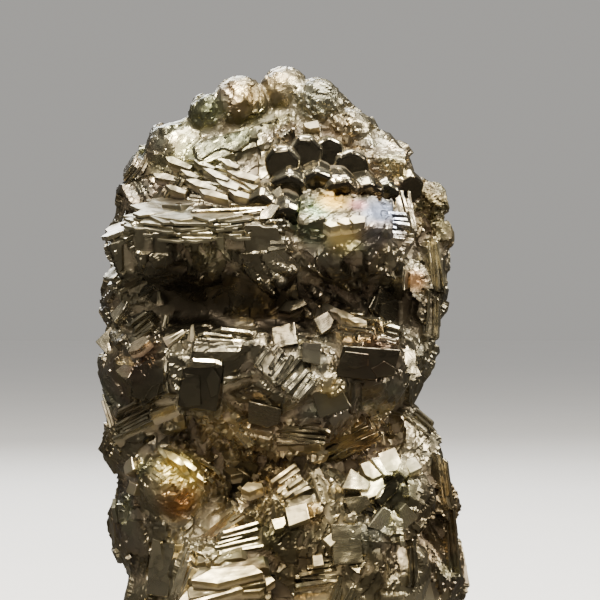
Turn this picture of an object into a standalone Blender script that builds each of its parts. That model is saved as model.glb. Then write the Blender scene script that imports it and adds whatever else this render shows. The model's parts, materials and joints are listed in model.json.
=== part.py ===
"""Bladed pyrite ball: a natural double ball of intergrown pyrite blades, one solid.

A rounded mass of lumps comes first. Stacks of flat blades, shelves of thin plates, blunt barrel
crystals and small blocks are then grown out of it and fused to it. The underside is the flat
scar where the ball parted from its bed.

Lengths in this script are millimetres, and the finished mesh is brought to metres at the end.
+Z is up, and the front looks along -Y.
"""

import math
import random

import bmesh
import bpy
from mathutils import Matrix, Vector
from mathutils.bvhtree import BVHTree

METRES_PER_MM = 0.001
SEED = 7

# The whole specimen, as fused: the middle of its box stands over the origin.
BOX_MIDDLE_X = -0.107
BOX_MIDDLE_Y = -0.101

# Places on the front are given by x and z as they look from this eye point.
EYE = Vector((1.7, -300.0, 51.2))

# The rounded mass
REMESH_CELL = 0.8
MASS_TRIANGLES = 700
SMOOTH_ROUNDS = 3
LUMP_ROUNDNESS = 3  # subdivisions of the sphere that each lump starts from

# Each lump is x, y, z of its middle, then its three radii.
UPPER_BALL = (-1.5, 1.5, 55.5, 18.3, 15.5, 18.6)
LOWER_BALL = (2.6, 1.0, 15.5, 16.6, 15.5, 20.0)
WAIST = (0.5, 1.5, 38.0, 14.0, 12.5, 9.0)

TOP_LUMPS = [
    (-5.2, -3.5, 72.7, 3.5, 3.5, 3.5),
    (-8.6, -3.0, 71.4, 2.5, 2.6, 2.4),
    (-0.2, -1.5, 73.7, 3.3, 3.6, 3.4),
    (3.8, -2.0, 72.5, 3.7, 3.8, 3.5),
    (7.6, -3.0, 69.5, 3.2, 3.6, 3.2),
    (-3.0, 5.0, 72.8, 4.0, 4.0, 3.4),
    (4.0, 5.5, 71.6, 4.4, 4.2, 3.6),
]
LEFT_LUMPS = [
    (-12.0, -2.0, 67.2, 4.6, 5.0, 4.6),
    (-15.0, -2.5, 62.6, 4.0, 4.6, 4.2),
    (-16.2, -3.0, 57.6, 4.0, 4.6, 4.2),
    (-16.8, -1.5, 50.8, 4.2, 5.5, 5.2),
    (-14.8, -4.0, 43.6, 6.2, 7.6, 7.2),
    (-14.6, -3.0, 35.8, 6.2, 7.6, 6.0),
]
RIGHT_LUMPS = [
    (10.9, -3.5, 66.2, 3.7, 4.0, 3.7),
    (14.4, -1.5, 62.6, 2.8, 3.4, 2.8),
    (15.2, 0.0, 59.8, 3.3, 4.0, 3.4),
    (15.4, -1.0, 56.3, 3.5, 4.4, 3.6),
    (14.4, -3.0, 51.8, 4.0, 4.8, 5.0),
    (13.3, -3.0, 46.3, 4.0, 4.6, 5.0),
    (11.2, -3.0, 41.9, 4.0, 4.6, 3.8),
]
# The brow over the shaded hollow, the slab, the middle, and the tier under the hollow
FRONT_LUMPS = [
    (-8.8, -10.0, 57.2, 9.6, 6.8, 5.4),
    (7.4, -10.5, 57.8, 6.8, 6.6, 5.2),
    (-1.0, -12.0, 56.6, 5.2, 4.8, 5.4),
    (-9.4, -9.5, 43.6, 7.4, 7.4, 5.6),
    (0.6, -11.0, 43.0, 7.2, 6.8, 5.4),
    (9.0, -9.0, 44.4, 5.6, 6.8, 5.4),
    (0.2, -8.0, 38.6, 9.2, 7.4, 4.2),
]
LOWER_LUMPS = [
    (13.0, -1.5, 33.8, 4.8, 5.4, 4.8),
    (14.2, -2.0, 27.4, 5.5, 6.0, 5.6),
    (14.9, -1.0, 19.8, 6.0, 7.0, 6.4),
    (13.2, 0.0, 10.2, 6.2, 7.6, 6.4),
    (11.6, -9.0, 28.8, 4.9, 5.2, 4.9),
    (9.8, -10.0, 20.8, 6.0, 6.4, 6.6),
    (1.8, -9.6, 25.6, 7.6, 6.4, 7.4),
    (-6.8, -10.4, 19.8, 6.8, 6.4, 6.0),
    (-12.2, -7.4, 30.4, 4.6, 5.0, 4.5),
    (-11.6, -2.0, 26.0, 8.4, 9.0, 9.0),
    (-9.4, -3.0, 15.6, 9.4, 10.4, 10.0),
    (-4.0, -8.6, 8.4, 8.2, 8.0, 7.4),
    (8.4, -7.6, 8.0, 8.0, 8.0, 7.2),
    (-6.5, 7.0, 9.0, 8.6, 8.2, 7.6),
    (7.5, 7.6, 8.4, 8.6, 8.0, 7.4),
]
# The back and sides carry rounded lumps too: how many directions are tried on each ball, how
# far out the lump's middle is as a part of the ball's radii, and the lump's radius
BACK_LUMPS = [
    (UPPER_BALL, 30, 0.86, 4.8),
    (LOWER_BALL, 18, 0.84, 5.0),
    (WAIST, 12, 0.92, 5.2),
]
BACK_LUMP_SPREAD = (0.8, 1.15)
BACK_STARTS_AT = 0.15  # a direction's y from which it counts as back or side

# Front pieces. Each place is x, z as seen from the eye. Yaw turns the outward face to the
# right, pitch turns it up, and turn rolls the long direction anticlockwise, in degrees.
# Blade stacks: x, z, yaw, pitch, turn, length, slant, then (width, height) of each blade,
# from the one nearest the viewer's feet to the highest.
BLADE_STACKS = [
    (-11.2, 65.6, -22, 46, -27, 4.2, 0.5, [(0.9, 0.3), (0.8, 0.9), (0.8, 1.5)]),
    (-9.0, 62.9, -10, 42, -26, 4.8, 0.5, [(0.9, 0.2), (0.9, 0.8), (0.8, 1.4)]),
    (-5.4, 63.0, 2, 40, -37, 5.2, 0.4, [(0.8, 0.2), (0.7, 0.8), (0.8, 1.4), (0.7, 2.0)]),
    (-1.3, 58.6, 18, 38, 14, 3.0, 0.3, [(0.6, 0.5), (0.6, 1.1), (0.7, 1.7)]),
    (7.4, 61.3, 8, 52, -7, 10.4, 0.2, [(1.0, 0.2), (1.2, 0.9), (3.6, 1.5)]),
    (12.4, 59.4, 26, 34, 8, 3.8, 0.3, [(0.9, 0.4), (0.9, 1.0), (0.9, 1.6)]),
    (8.4, 47.3, -8, 52, -25, 4.6, 0.5, [(0.7, 0.6), (0.7, 1.1), (0.8, 1.7)]),
    (11.9, 46.9, 12, 44, -20, 2.8, 0.2, [(0.8, 0.5), (0.9, 1.2)]),
    (-13.9, 39.2, -26, 44, 17, 3.8, 0.5, [(1.0, 0.5), (1.0, 1.1), (0.9, 1.8)]),
    (-17.0, 37.3, -36, 36, 14, 6.2, 0.3, [(0.8, 0.4), (0.8, 1.1), (0.8, 1.8)]),
    (-16.4, 47.6, -34, 30, 32, 4.6, 0.3, [(0.9, 0.6), (0.9, 1.4)]),
    (-7.0, 19.6, -12, 50, 11, 9.4, 0.3, [(1.6, 0.4), (1.8, 1.1), (2.4, 1.8)]),
    (-5.2, 23.2, -4, 36, 16, 6.0, 0.4, [(0.7, 0.5), (0.7, 1.1), (0.8, 1.8)]),
    (-11.4, 19.4, -30, 14, 74, 5.6, 0.2, [(0.8, 1.7), (0.8, 1.0), (0.8, 0.4)]),
    (-9.0, 31.2, -14, 34, -44, 4.4, 0.4, [(0.9, 0.5), (0.9, 1.2), (0.9, 1.9)]),
    (17.2, 55.0, 56, 12, 82, 6.4, 0.2, [(0.8, 0.5), (0.9, 1.1), (0.9, 0.4)]),
    (16.4, 49.6, 54, 4, 76, 6.0, 0.2, [(0.9, 1.1), (0.9, 0.5), (0.9, 0.9)]),
    (18.9, 23.4, 60, 8, 80, 8.4, 0.2, [(0.9, 0.5), (1.0, 1.2), (0.9, 0.5)]),
    (17.8, 30.4, 58, 14, 72, 6.4, 0.2, [(0.9, 1.1), (0.9, 0.5)]),
    (15.2, 37.0, 46, 40, -30, 4.0, 0.2, [(0.9, 0.5), (0.9, 1.1)]),
    (4.0, 20.0, 6, 28, 8, 5.4, 0.3, [(1.1, 0.4), (1.1, 1.0), (1.0, 1.6)]),
    (1.6, 35.6, 0, 30, -4, 6.4, 0.4, [(0.8, 0.4), (0.8, 0.9), (0.8, 1.4)]),
]
# Upright blades side by side: x, z, yaw, pitch, turn, blade length, step between blades,
# blade width, height, count, and how far each next blade is fanned round
BLADE_FANS = [
    (0.0, 42.9, 4, 12, 52, 4.6, 1.35, 0.8, 1.5, 5, 1.0),
    (-2.2, 55.0, -4, 6, -28, 6.0, 1.3, 0.8, 1.3, 4, 9.0),
    (2.4, 52.6, 6, -10, -36, 5.0, 1.2, 0.7, 1.2, 4, 8.0),
    (-16.6, 53.2, -40, 6, 18, 4.6, 1.2, 0.7, 1.2, 3, 6.0),
    (1.0, 29.4, 2, 24, 34, 4.0, 1.2, 0.7, 1.3, 4, 7.0),
    (7.6, 16.0, 10, 4, 62, 5.6, 1.3, 0.8, 1.4, 4, 6.0),
    (-2.6, 12.6, -6, -4, 24, 6.0, 1.4, 0.8, 1.4, 4, 6.0),
]
# How much shorter and lower a blade is for each step that it stands from the fan's middle
FAN_SHORTER = 0.3
FAN_LOWER = 0.2
# Thin lens-shaped plates in a pile: x, z, yaw, pitch, turn, two radii, rise of each layer,
# how much each layer draws in, layers, sides of the outline, and lift
PLATE_SHELVES = [
    (-8.8, 60.0, -6, 70, 2, 9.4, 6.2, 0.55, 0.45, 4, 12, 0.2),
    (-6.8, 46.2, 2, 66, 0, 4.4, 4.0, 0.60, 0.40, 3, 12, 0.6),
    (-18.4, 58.4, -46, 62, -8, 3.4, 3.2, 0.80, 0.30, 3, 10, -0.6),
    (-17.6, 54.6, -46, 50, 22, 3.4, 3.0, 0.80, 0.30, 2, 10, -0.4),
    (14.9, 48.2, 30, 2, 86, 3.6, 1.8, 0.70, 0.50, 2, 9, 0.4),
    (-15.4, 41.6, -32, 6, 10, 2.9, 2.5, 0.60, 0.60, 2, 6, 0.6),
    (-4.6, 69.0, -8, 40, 25, 6.4, 1.8, 0.80, 0.60, 2, 10, 0.3),
    (9.9, 24.4, 10, 26, -4, 3.2, 2.0, 0.60, 0.50, 2, 6, 0.6),
]
# Blunt six-sided barrels: x, z, yaw, pitch, turn, radius, height
BARRELS = [
    (-0.2, 67.2, -6, 22, 30, 1.6, 2.2),
    (2.3, 68.3, 2, 26, 30, 1.5, 2.0),
    (4.8, 68.2, 8, 26, 0, 1.5, 2.0),
    (7.2, 66.8, 16, 22, 0, 1.7, 2.4),
    (0.6, 64.6, -4, 6, 0, 1.8, 2.4),
    (3.5, 65.2, 4, 4, 0, 1.7, 2.4),
    (6.0, 64.4, 10, -2, 30, 1.8, 2.6),
    (8.8, 64.2, 18, -2, 30, 1.6, 2.6),
    (-2.4, 62.6, -8, 2, 0, 1.5, 2.2),
    (0.1, 61.6, 0, -6, 0, 1.4, 2.0),
    (2.4, 62.2, 4, -8, 0, 1.3, 2.0),
    (11.0, 64.3, 14, -4, 30, 1.5, 2.4),
    (13.4, 64.6, 26, -2, 30, 1.6, 2.6),
]
BARREL_NARROWS = 0.9  # the root's radius as a part of the widest
BARREL_SHOULDER = 0.6  # where the blunt end starts, as a part of the height
BARREL_END = 0.62
# Blocks: x, z, yaw, pitch, turn, width, depth across, height
BLOCKS = [
    (12.0, 67.4, 10, 62, -10, 4.6, 3.8, 1.6),
    (0.0, 46.8, -6, 14, 8, 2.5, 2.6, 1.8),
    (4.3, 48.0, 6, 20, 36, 1.9, 1.8, 1.9),
    (2.7, 44.9, 10, 6, -6, 2.1, 2.2, 1.6),
    (9.6, 44.3, 4, -6, -4, 6.4, 3.4, 1.5),
    (-9.2, 40.5, -10, -8, -3, 4.4, 5.0, 1.6),
    (7.0, 23.0, 2, 6, 8, 3.2, 4.6, 1.5),
    (1.6, 26.2, -6, 18, 14, 2.2, 2.0, 1.6),
    (-17.0, 31.8, -46, 16, 12, 1.5, 1.5, 1.4),
    (-16.6, 29.4, -46, 10, -16, 1.5, 1.3, 1.4),
    (5.2, 39.8, 6, -4, 20, 3.4, 3.0, 1.5),
    (-2.4, 38.2, -4, -10, -10, 3.6, 2.6, 1.4),
]
# Rounded knobs: x, z, radius
KNOBS = [
    (-5.2, 73.8, 3.1),
    (-8.8, 72.6, 2.4),
    (-0.2, 75.2, 2.9),
    (3.8, 73.8, 2.9),
    (7.5, 70.4, 2.7),
    (16.6, 62.6, 2.0),
    (17.6, 58.6, 1.8),
    (5.2, 41.4, 1.7),
    (-13.2, 30.0, 3.9),
    (9.0, 68.4, 1.6),
]
KNOB_PROUD = 1.3
# Places left without covering crystals: x, z, radius. These are the knobs of the top, the
# smooth face under the long ledge and the shaded hollow.
BARE_PLACES = [
    (-1.0, 74.0, 6.6),
    (-10.0, 54.5, 5.5),
    (-3.0, 54.0, 5.0),
    (-10.0, 50.0, 4.5),
    (-2.0, 50.0, 5.0),
    (6.0, 50.5, 5.0),
    (10.0, 54.0, 4.0),
    (11.0, 40.0, 3.0),
]
# The rosette on the lower ball's right front: blocks in a ring round a middle
ROSETTE_AT = (11.5, 29.2)
ROSETTE_FACE = (26.0, 14.0)
ROSETTE_RING = 2.8
ROSETTE_BLOCKS = 7
ROSETTE_BLOCK = (1.9, 1.7, 1.9)
ROSETTE_TILT = 24.0
ROSETTE_SUNK = 0.5
ROSETTE_MIDDLE = (1.2, 1.6)  # the radius and height of the barrel in its middle

# Crystals that cover the rest: how many are tried round each lump, and the lowest and the
# highest place that it serves
CRYSTALS_TRIED = [
    (UPPER_BALL, 112, 44.0, 80.0),
    (WAIST, 52, 31.0, 44.0),
    (LOWER_BALL, 92, 2.5, 31.0),
]
CLEAR_OF_FRONT = 3.2  # the clear space that they leave round a front piece
CRYSTAL_LENGTHS = (5.0, 8.4)
CRYSTAL_HEIGHT = 1.2
LEAN = 0.45
SLABS, STACKS = 0.55, 0.30  # the share of each kind, and the rest are blunt plates
SLAB_DEPTHS = (0.5, 0.8)  # as a part of the length
STACK_BLADES = 3
STACK_WIDTHS = (1.0, 1.5)
STACK_RISES = (0.4, 0.6)
STACK_SLANT = 0.5
PLATE_ROOT = 1.3  # a blunt plate's root is wider than its top
# The blades' direction turns with height, with x and with y by these radians for each mm
SWIRL = (0.16, 0.11, 0.13)

STACK_SINK = 3.0  # how deep each piece is rooted in the mass
FRONT_PROUD = 2.2  # how far a piece may stand out of the mass
SIDE_PROUD = 1.2
FAR_OUT = 60.0  # further out than any part of the specimen


def facing(yaw, pitch):
    """The outward direction of a piece, from the viewer's side."""
    yaw, pitch = math.radians(yaw), math.radians(pitch)
    return Vector((math.sin(yaw) * math.cos(pitch), -math.cos(yaw) * math.cos(pitch), math.sin(pitch)))


def frame_at(place, outward, along):
    """A matrix whose X runs along the blades, Y across them and Z outwards."""
    outward = outward.normalized()
    along = (along - outward * along.dot(outward)).normalized()
    across = outward.cross(along)
    turned = Matrix((along, across, outward)).transposed().to_4x4()
    return Matrix.Translation(place) @ turned


def front_frame(mass, x, z, yaw, pitch, turn):
    """The frame of a front piece, on the mass where the eye sees x, z."""
    towards = (Vector((x, 0.0, z)) - EYE).normalized()
    place = mass.ray_cast(EYE, towards)[0]
    roll = math.radians(turn)
    return frame_at(place, facing(yaw, pitch), Vector((math.cos(roll), 0.0, math.sin(roll))))


def object_from(shape, name):
    """Finishes a bmesh as a linked object, with its faces pointing outwards."""
    bmesh.ops.recalc_face_normals(shape, faces=shape.faces)
    mesh = bpy.data.meshes.new(name)
    shape.to_mesh(mesh)
    shape.free()
    made = bpy.data.objects.new(name, mesh)
    bpy.context.scene.collection.objects.link(made)
    return made


def evaluated_mesh(made):
    """The object's mesh with its modifiers applied."""
    graph = bpy.context.evaluated_depsgraph_get()
    return bpy.data.meshes.new_from_object(made.evaluated_get(graph))


def even_directions(count):
    """Directions spread evenly over a sphere."""
    golden = math.pi * (3.0 - math.sqrt(5.0))
    for i in range(count):
        height = 1.0 - 2.0 * (i + 0.5) / count
        around = math.sqrt(1.0 - height * height)
        yield Vector((around * math.cos(golden * i), around * math.sin(golden * i), height))


def back_lumps(rng):
    """Rounded lumps over the back and sides of each ball."""
    lumps = []
    for ball, count, out, radius in BACK_LUMPS:
        middle, radii = Vector(ball[:3]), Vector(ball[3:])
        for direction in even_directions(count):
            if direction.y < BACK_STARTS_AT:
                continue
            place = middle + out * direction * radii
            lumps.append((*place, *[radius * rng.uniform(*BACK_LUMP_SPREAD) for _ in range(3)]))
    return lumps


def rounded_mass(rng):
    """All the lumps flowed into one body, thinned, and a search tree of the fine body."""
    lumps = [UPPER_BALL, LOWER_BALL, WAIST]
    lumps += TOP_LUMPS + LEFT_LUMPS + RIGHT_LUMPS + FRONT_LUMPS + LOWER_LUMPS
    lumps += back_lumps(rng)
    shape = bmesh.new()
    for x, y, z, rx, ry, rz in lumps:
        stretched = Matrix.Translation((x, y, z)) @ Matrix.Diagonal((rx, ry, rz, 1.0))
        bmesh.ops.create_icosphere(shape, subdivisions=LUMP_ROUNDNESS, radius=1.0, matrix=stretched)
    mass = object_from(shape, "rounded_mass")
    remesh = mass.modifiers.new("flow", "REMESH")
    remesh.mode = "VOXEL"
    remesh.voxel_size = REMESH_CELL
    soften = mass.modifiers.new("soften", "SMOOTH")
    soften.iterations = SMOOTH_ROUNDS
    full = evaluated_mesh(mass)
    bvh = BVHTree.FromPolygons([v.co for v in full.vertices], [p.vertices for p in full.polygons])
    thin = mass.modifiers.new("thin", "DECIMATE")
    thin.ratio = MASS_TRIANGLES / sum(len(p.vertices) - 2 for p in full.polygons)
    mass.data = evaluated_mesh(mass)
    mass.modifiers.clear()
    return mass, bvh


def prism(sides, radius_x, radius_y, height, low_part=1.0):
    """A closed prism from its root up to its height, and its top face."""
    shape = bmesh.new()
    middle = Matrix.Translation((0.0, 0.0, (height - STACK_SINK) / 2.0))
    placed = middle @ Matrix.Diagonal((radius_x, radius_y, STACK_SINK + height, 1.0))
    bmesh.ops.create_cone(
        shape, cap_ends=True, segments=sides, radius1=low_part, radius2=1.0, depth=1.0, matrix=placed)
    return shape, max(shape.faces, key=lambda face: face.calc_center_median().z)


def grown(shape, face, lift, scale_x=1.0, scale_y=1.0):
    """Pulls a face out, lifts it and draws it in, and gives the new face."""
    face = bmesh.ops.extrude_discrete_faces(shape, faces=[face])["faces"][0]
    bmesh.ops.scale(shape, vec=(scale_x, scale_y, 1.0), verts=face.verts)
    bmesh.ops.translate(shape, vec=(0.0, 0.0, lift), verts=face.verts)
    return face


def blade_stack(length, slant, blades):
    """Blades side by side as one stepped block, its ends cut on the slant."""
    shape = bmesh.new()
    across = -sum(width for width, _ in blades) / 2.0
    outline = [(across, -STACK_SINK)]
    for width, height in blades:
        outline.append((across, height))
        across += width
        outline.append((across, height))
    outline.append((across, -STACK_SINK))
    side = shape.faces.new([shape.verts.new((slant * y - length / 2.0, y, z)) for y, z in outline])
    swept = bmesh.ops.extrude_face_region(shape, geom=[side])
    ends = [v for v in swept["geom"] if isinstance(v, bmesh.types.BMVert)]
    bmesh.ops.translate(shape, vec=(length, 0.0, 0.0), verts=ends)
    return shape


def plate_pile(radius_x, radius_y, rise, draw_in, layers, sides):
    """Flat plates of one outline, each layer drawn in from the one below."""
    shape, top = prism(sides, radius_x, radius_y, rise)
    for layer in range(1, layers):
        inner_x, inner_y = radius_x - draw_in * layer, radius_y - draw_in * layer
        outer_x, outer_y = inner_x + draw_in, inner_y + draw_in
        top = grown(shape, top, 0.0, inner_x / outer_x, inner_y / outer_y)
        top = grown(shape, top, rise)
    return shape


def barrel(radius, height):
    """A six-sided crystal, a little wider in the middle, with a blunt end."""
    shoulder = height * BARREL_SHOULDER
    shape, top = prism(6, radius, radius, shoulder, BARREL_NARROWS)
    grown(shape, top, height - shoulder, BARREL_END, BARREL_END)
    return shape


def block(width, depth, height):
    """A square-cut crystal."""
    shape = bmesh.new()
    size = Matrix.Diagonal((width, depth, STACK_SINK + height, 1.0))
    middle = Matrix.Translation((0.0, 0.0, (height - STACK_SINK) / 2.0))
    bmesh.ops.create_cube(shape, size=1.0, matrix=middle @ size)
    return shape


def front_pieces(mass):
    """Every piece of the front as a pair: its frame and its shape."""
    for x, z, yaw, pitch, turn, length, slant, blades in BLADE_STACKS:
        yield front_frame(mass, x, z, yaw, pitch, turn), blade_stack(length, slant, blades)
    for x, z, yaw, pitch, turn, length, step, width, height, count, fan in BLADE_FANS:
        middle = front_frame(mass, x, z, yaw, pitch, turn)
        for i in range(count):
            offset = i - (count - 1) / 2.0
            swung = Matrix.Rotation(math.radians(fan * offset), 4, "Z")
            blade = Matrix.Translation((0.0, step * offset, 0.0)) @ swung
            shorter, lower = FAN_SHORTER * abs(offset), FAN_LOWER * abs(offset)
            yield middle @ blade, block(length - shorter, width, height - lower)
    for x, z, yaw, pitch, turn, radius_x, radius_y, rise, draw_in, layers, sides, lift in PLATE_SHELVES:
        middle = front_frame(mass, x, z, yaw, pitch, turn) @ Matrix.Translation((0.0, 0.0, lift))
        yield middle, plate_pile(radius_x, radius_y, rise, draw_in, layers, sides)
    for x, z, yaw, pitch, turn, radius, height in BARRELS:
        yield front_frame(mass, x, z, yaw, pitch, turn), barrel(radius, height)
    for x, z, yaw, pitch, turn, width, depth, height in BLOCKS:
        yield front_frame(mass, x, z, yaw, pitch, turn), block(width, depth, height)
    for x, z, radius in KNOBS:
        sunk = Matrix.Translation((0.0, 0.0, KNOB_PROUD - radius))
        yield front_frame(mass, x, z, 0, 0, 0) @ sunk, knob(radius)
    yield from rosette(mass)


def knob(radius):
    """A rounded lump of grains."""
    shape = bmesh.new()
    bmesh.ops.create_icosphere(shape, subdivisions=1, radius=radius)
    return shape


def rosette(mass):
    """Blocks in a ring, each leaning outwards from the middle."""
    middle = front_frame(mass, *ROSETTE_AT, *ROSETTE_FACE, 0.0)
    leaning = Matrix.Rotation(math.radians(ROSETTE_TILT), 4, "Y")
    for i in range(ROSETTE_BLOCKS):
        around = Matrix.Rotation(2.0 * math.pi * i / ROSETTE_BLOCKS, 4, "Z")
        out = Matrix.Translation((ROSETTE_RING, 0.0, -ROSETTE_SUNK)) @ leaning
        yield middle @ around @ out, block(*ROSETTE_BLOCK)
    yield middle, barrel(*ROSETTE_MIDDLE)


def swirl(place):
    """The direction that blades tend to run in, which turns slowly over the ball."""
    bend = SWIRL[0] * place.z + SWIRL[1] * place.x
    return Vector((math.cos(bend), math.sin(SWIRL[2] * place.y) / 2.0, math.sin(bend)))


def covering_pieces(mass, taken, rng):
    """Slabs, stacks and blunt plates that cover what the front pieces leave bare."""
    for lump, count, lowest, highest in CRYSTALS_TRIED:
        middle = Vector(lump[:3])
        for direction in even_directions(count):
            place = mass.ray_cast(middle + direction * FAR_OUT, -direction)[0]
            length, kind = rng.uniform(*CRYSTAL_LENGTHS), rng.random()
            lean = Vector([rng.uniform(-LEAN, LEAN) for _ in range(3)])
            if not lowest < place.z < highest:
                continue
            if min((place - other).length - clear for other, clear in taken) < 0.0:
                continue
            frame = frame_at(place, direction + lean, swirl(place))
            if kind < SLABS:
                shape = block(length, length * rng.uniform(*SLAB_DEPTHS), CRYSTAL_HEIGHT)
            elif kind < SLABS + STACKS:
                rises = [rng.uniform(*STACK_RISES) * (i + 0.5) for i in range(STACK_BLADES)]
                blades = [(rng.uniform(*STACK_WIDTHS), rise) for rise in rises]
                shape = blade_stack(length, rng.uniform(-STACK_SLANT, STACK_SLANT), blades)
            else:
                shape, _ = prism(5, length * 0.5, length * 0.4, CRYSTAL_HEIGHT, PLATE_ROOT)
            yield settled(frame, shape, mass, SIDE_PROUD), shape


def settled(frame, shape, mass, proud):
    """The frame moved inwards until no corner of the piece stands too far out."""
    excess, inwards = 0.0, Vector()
    for vert in shape.verts:
        corner = frame @ vert.co
        near, normal, _, gap = mass.find_nearest(corner)
        if gap - proud > excess and (corner - near).dot(normal) > 0.0:
            excess, inwards = gap - proud, -normal
    return Matrix.Translation(inwards * excess) @ frame


def largest_shell(made):
    """Keeps the outer surface alone, without any pocket that the fusing closed off."""
    shape = bmesh.new()
    shape.from_mesh(made.data)
    left = set(shape.verts)
    shells = []
    while left:
        shell, edge = set(), [left.pop()]
        while edge:
            vert = edge.pop()
            shell.add(vert)
            near = {e.other_vert(vert) for e in vert.link_edges} & left
            left -= near
            edge.extend(near)
        shells.append(shell)
    keep = max(shells, key=len)
    bmesh.ops.delete(shape, geom=[v for v in shape.verts if v not in keep], context="VERTS")
    shape.to_mesh(made.data)
    shape.free()


def fused(mass, placed):
    """The mass and its pieces as one body, cut flat at the foot."""
    everything = bmesh.new()
    everything.from_mesh(mass.data)
    for frame, shape in placed:
        bmesh.ops.transform(shape, matrix=frame, verts=shape.verts)
        piece = object_from(shape, "crystal")
        everything.from_mesh(piece.data)
        bpy.data.objects.remove(piece)
    everything.to_mesh(mass.data)
    everything.free()
    cutter = bmesh.new()
    below = Matrix.Translation((0.0, 0.0, -FAR_OUT))
    bmesh.ops.create_cube(cutter, size=2.0 * FAR_OUT, matrix=below)
    bed = object_from(cutter, "bed")
    scar = mass.modifiers.new("scar", "BOOLEAN")
    scar.operation = "DIFFERENCE"
    scar.object = bed
    scar.use_self = True
    mass.data = evaluated_mesh(mass)
    mass.modifiers.clear()
    bpy.data.objects.remove(bed)
    largest_shell(mass)
    return mass


def pyrite_material():
    material = bpy.data.materials.new("pyrite")
    material.use_nodes = True
    surface = material.node_tree.nodes["Principled BSDF"]
    surface.inputs["Base Color"].default_value = (0.36, 0.31, 0.22, 1.0)
    surface.inputs["Metallic"].default_value = 1.0
    surface.inputs["Roughness"].default_value = 0.32
    return material


def main():
    for old in list(bpy.data.objects):
        bpy.data.objects.remove(old)
    rng = random.Random(SEED)
    mass, bvh = rounded_mass(rng)
    front = [(settled(frame, shape, bvh, FRONT_PROUD), shape) for frame, shape in front_pieces(bvh)]
    taken = [(frame.translation, CLEAR_OF_FRONT) for frame, _ in front]
    taken += [(front_frame(bvh, x, z, 0, 0, 0).translation, radius) for x, z, radius in BARE_PLACES]
    placed = front + list(covering_pieces(bvh, taken, rng))
    ball = fused(mass, placed)
    ball.name = "pyrite_ball"
    home = Matrix.Translation((-BOX_MIDDLE_X, -BOX_MIDDLE_Y, 0.0))
    ball.data.transform(Matrix.Scale(METRES_PER_MM, 4) @ home)
    ball.data.materials.clear()
    ball.data.materials.append(pyrite_material())
    low = [round(min(v.co[i] for v in ball.data.vertices), 6) for i in range(3)]
    high = [round(max(v.co[i] for v in ball.data.vertices), 6) for i in range(3)]
    print("crystals", len(placed), "lowest", low, "highest", high)


main()
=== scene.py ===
import json
import math
import random

import bmesh
import bpy
import numpy as np
from mathutils import Matrix, Vector
from mathutils.bvhtree import BVHTree
from mathutils.kdtree import KDTree

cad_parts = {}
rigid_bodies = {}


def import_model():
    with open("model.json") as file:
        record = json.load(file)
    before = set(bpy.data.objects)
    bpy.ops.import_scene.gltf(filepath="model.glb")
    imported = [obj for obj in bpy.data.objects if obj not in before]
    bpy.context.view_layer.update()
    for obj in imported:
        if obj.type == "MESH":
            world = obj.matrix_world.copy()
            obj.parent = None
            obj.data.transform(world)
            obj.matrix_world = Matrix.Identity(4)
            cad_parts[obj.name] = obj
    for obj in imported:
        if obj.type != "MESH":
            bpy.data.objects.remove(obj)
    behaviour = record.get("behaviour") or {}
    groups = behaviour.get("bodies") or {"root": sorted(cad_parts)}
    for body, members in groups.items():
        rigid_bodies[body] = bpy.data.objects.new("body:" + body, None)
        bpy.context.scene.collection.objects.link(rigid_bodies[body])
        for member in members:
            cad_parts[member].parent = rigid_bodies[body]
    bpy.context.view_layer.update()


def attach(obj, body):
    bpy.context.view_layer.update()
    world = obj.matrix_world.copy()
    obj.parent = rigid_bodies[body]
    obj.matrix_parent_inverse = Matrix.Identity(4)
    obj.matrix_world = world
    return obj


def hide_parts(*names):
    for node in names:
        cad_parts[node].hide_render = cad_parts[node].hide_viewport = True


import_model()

# Everything is modelled in millimetres as seen in the hand, then brought to the frame's metres.
specimen = {
    "metresPerMm": 0.001,
    "toMiddle": (0.107, 0.101, 0.0),  # brings the middle of the CAD's box to the origin
    "eye": Vector((1.7, -300.0, 51.2)),
    "viewWidth": 69.0,  # what the photograph's width spans at the middle of the ball
    "seed": 7,
    "looksSeed": 11,
    "farOut": 60.0,
    "rootDepth": 3.0,
    "bladeRoot": 1.6,  # how deep the roots of the looks go: blades, then blocks
    "blockRoot": 1.8,
    "grainShift": 40.0,  # how far apart the crystals' patterns are taken
    "mergeWithin": 0.0002,
}
toFrame = Matrix.Scale(specimen["metresPerMm"], 4) @ Matrix.Translation(specimen["toMiddle"])
scene = bpy.context.scene
rng = random.Random(specimen["seed"])  # in the CAD's order, so that crystals land in its places
vary = random.Random(specimen["looksSeed"])  # small differences that are looks alone


def shifted(x=0.0, y=0.0, z=0.0):
    return Matrix.Translation((x, y, z))


def rotated(degrees, axis):
    return Matrix.Rotation(math.radians(degrees), 4, axis)


def coordinates(mesh, name="co"):
    values = np.empty(3 * len(mesh.vertices))
    mesh.vertices.foreach_get(name, values)
    return values.reshape(-1, 3)


def setAttribute(mesh, name, values, kind="FLOAT"):
    found = mesh.attributes.get(name) or mesh.attributes.new(name, kind, "POINT")
    key = {"FLOAT": "value", "FLOAT_VECTOR": "vector", "FLOAT_COLOR": "color"}[kind]
    found.data.foreach_set(key, np.asarray(values, np.float32).ravel())


def getAttribute(mesh, name):
    values = np.empty(len(mesh.vertices), np.float32)
    mesh.attributes[name].data.foreach_get("value", values)
    return values


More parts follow.
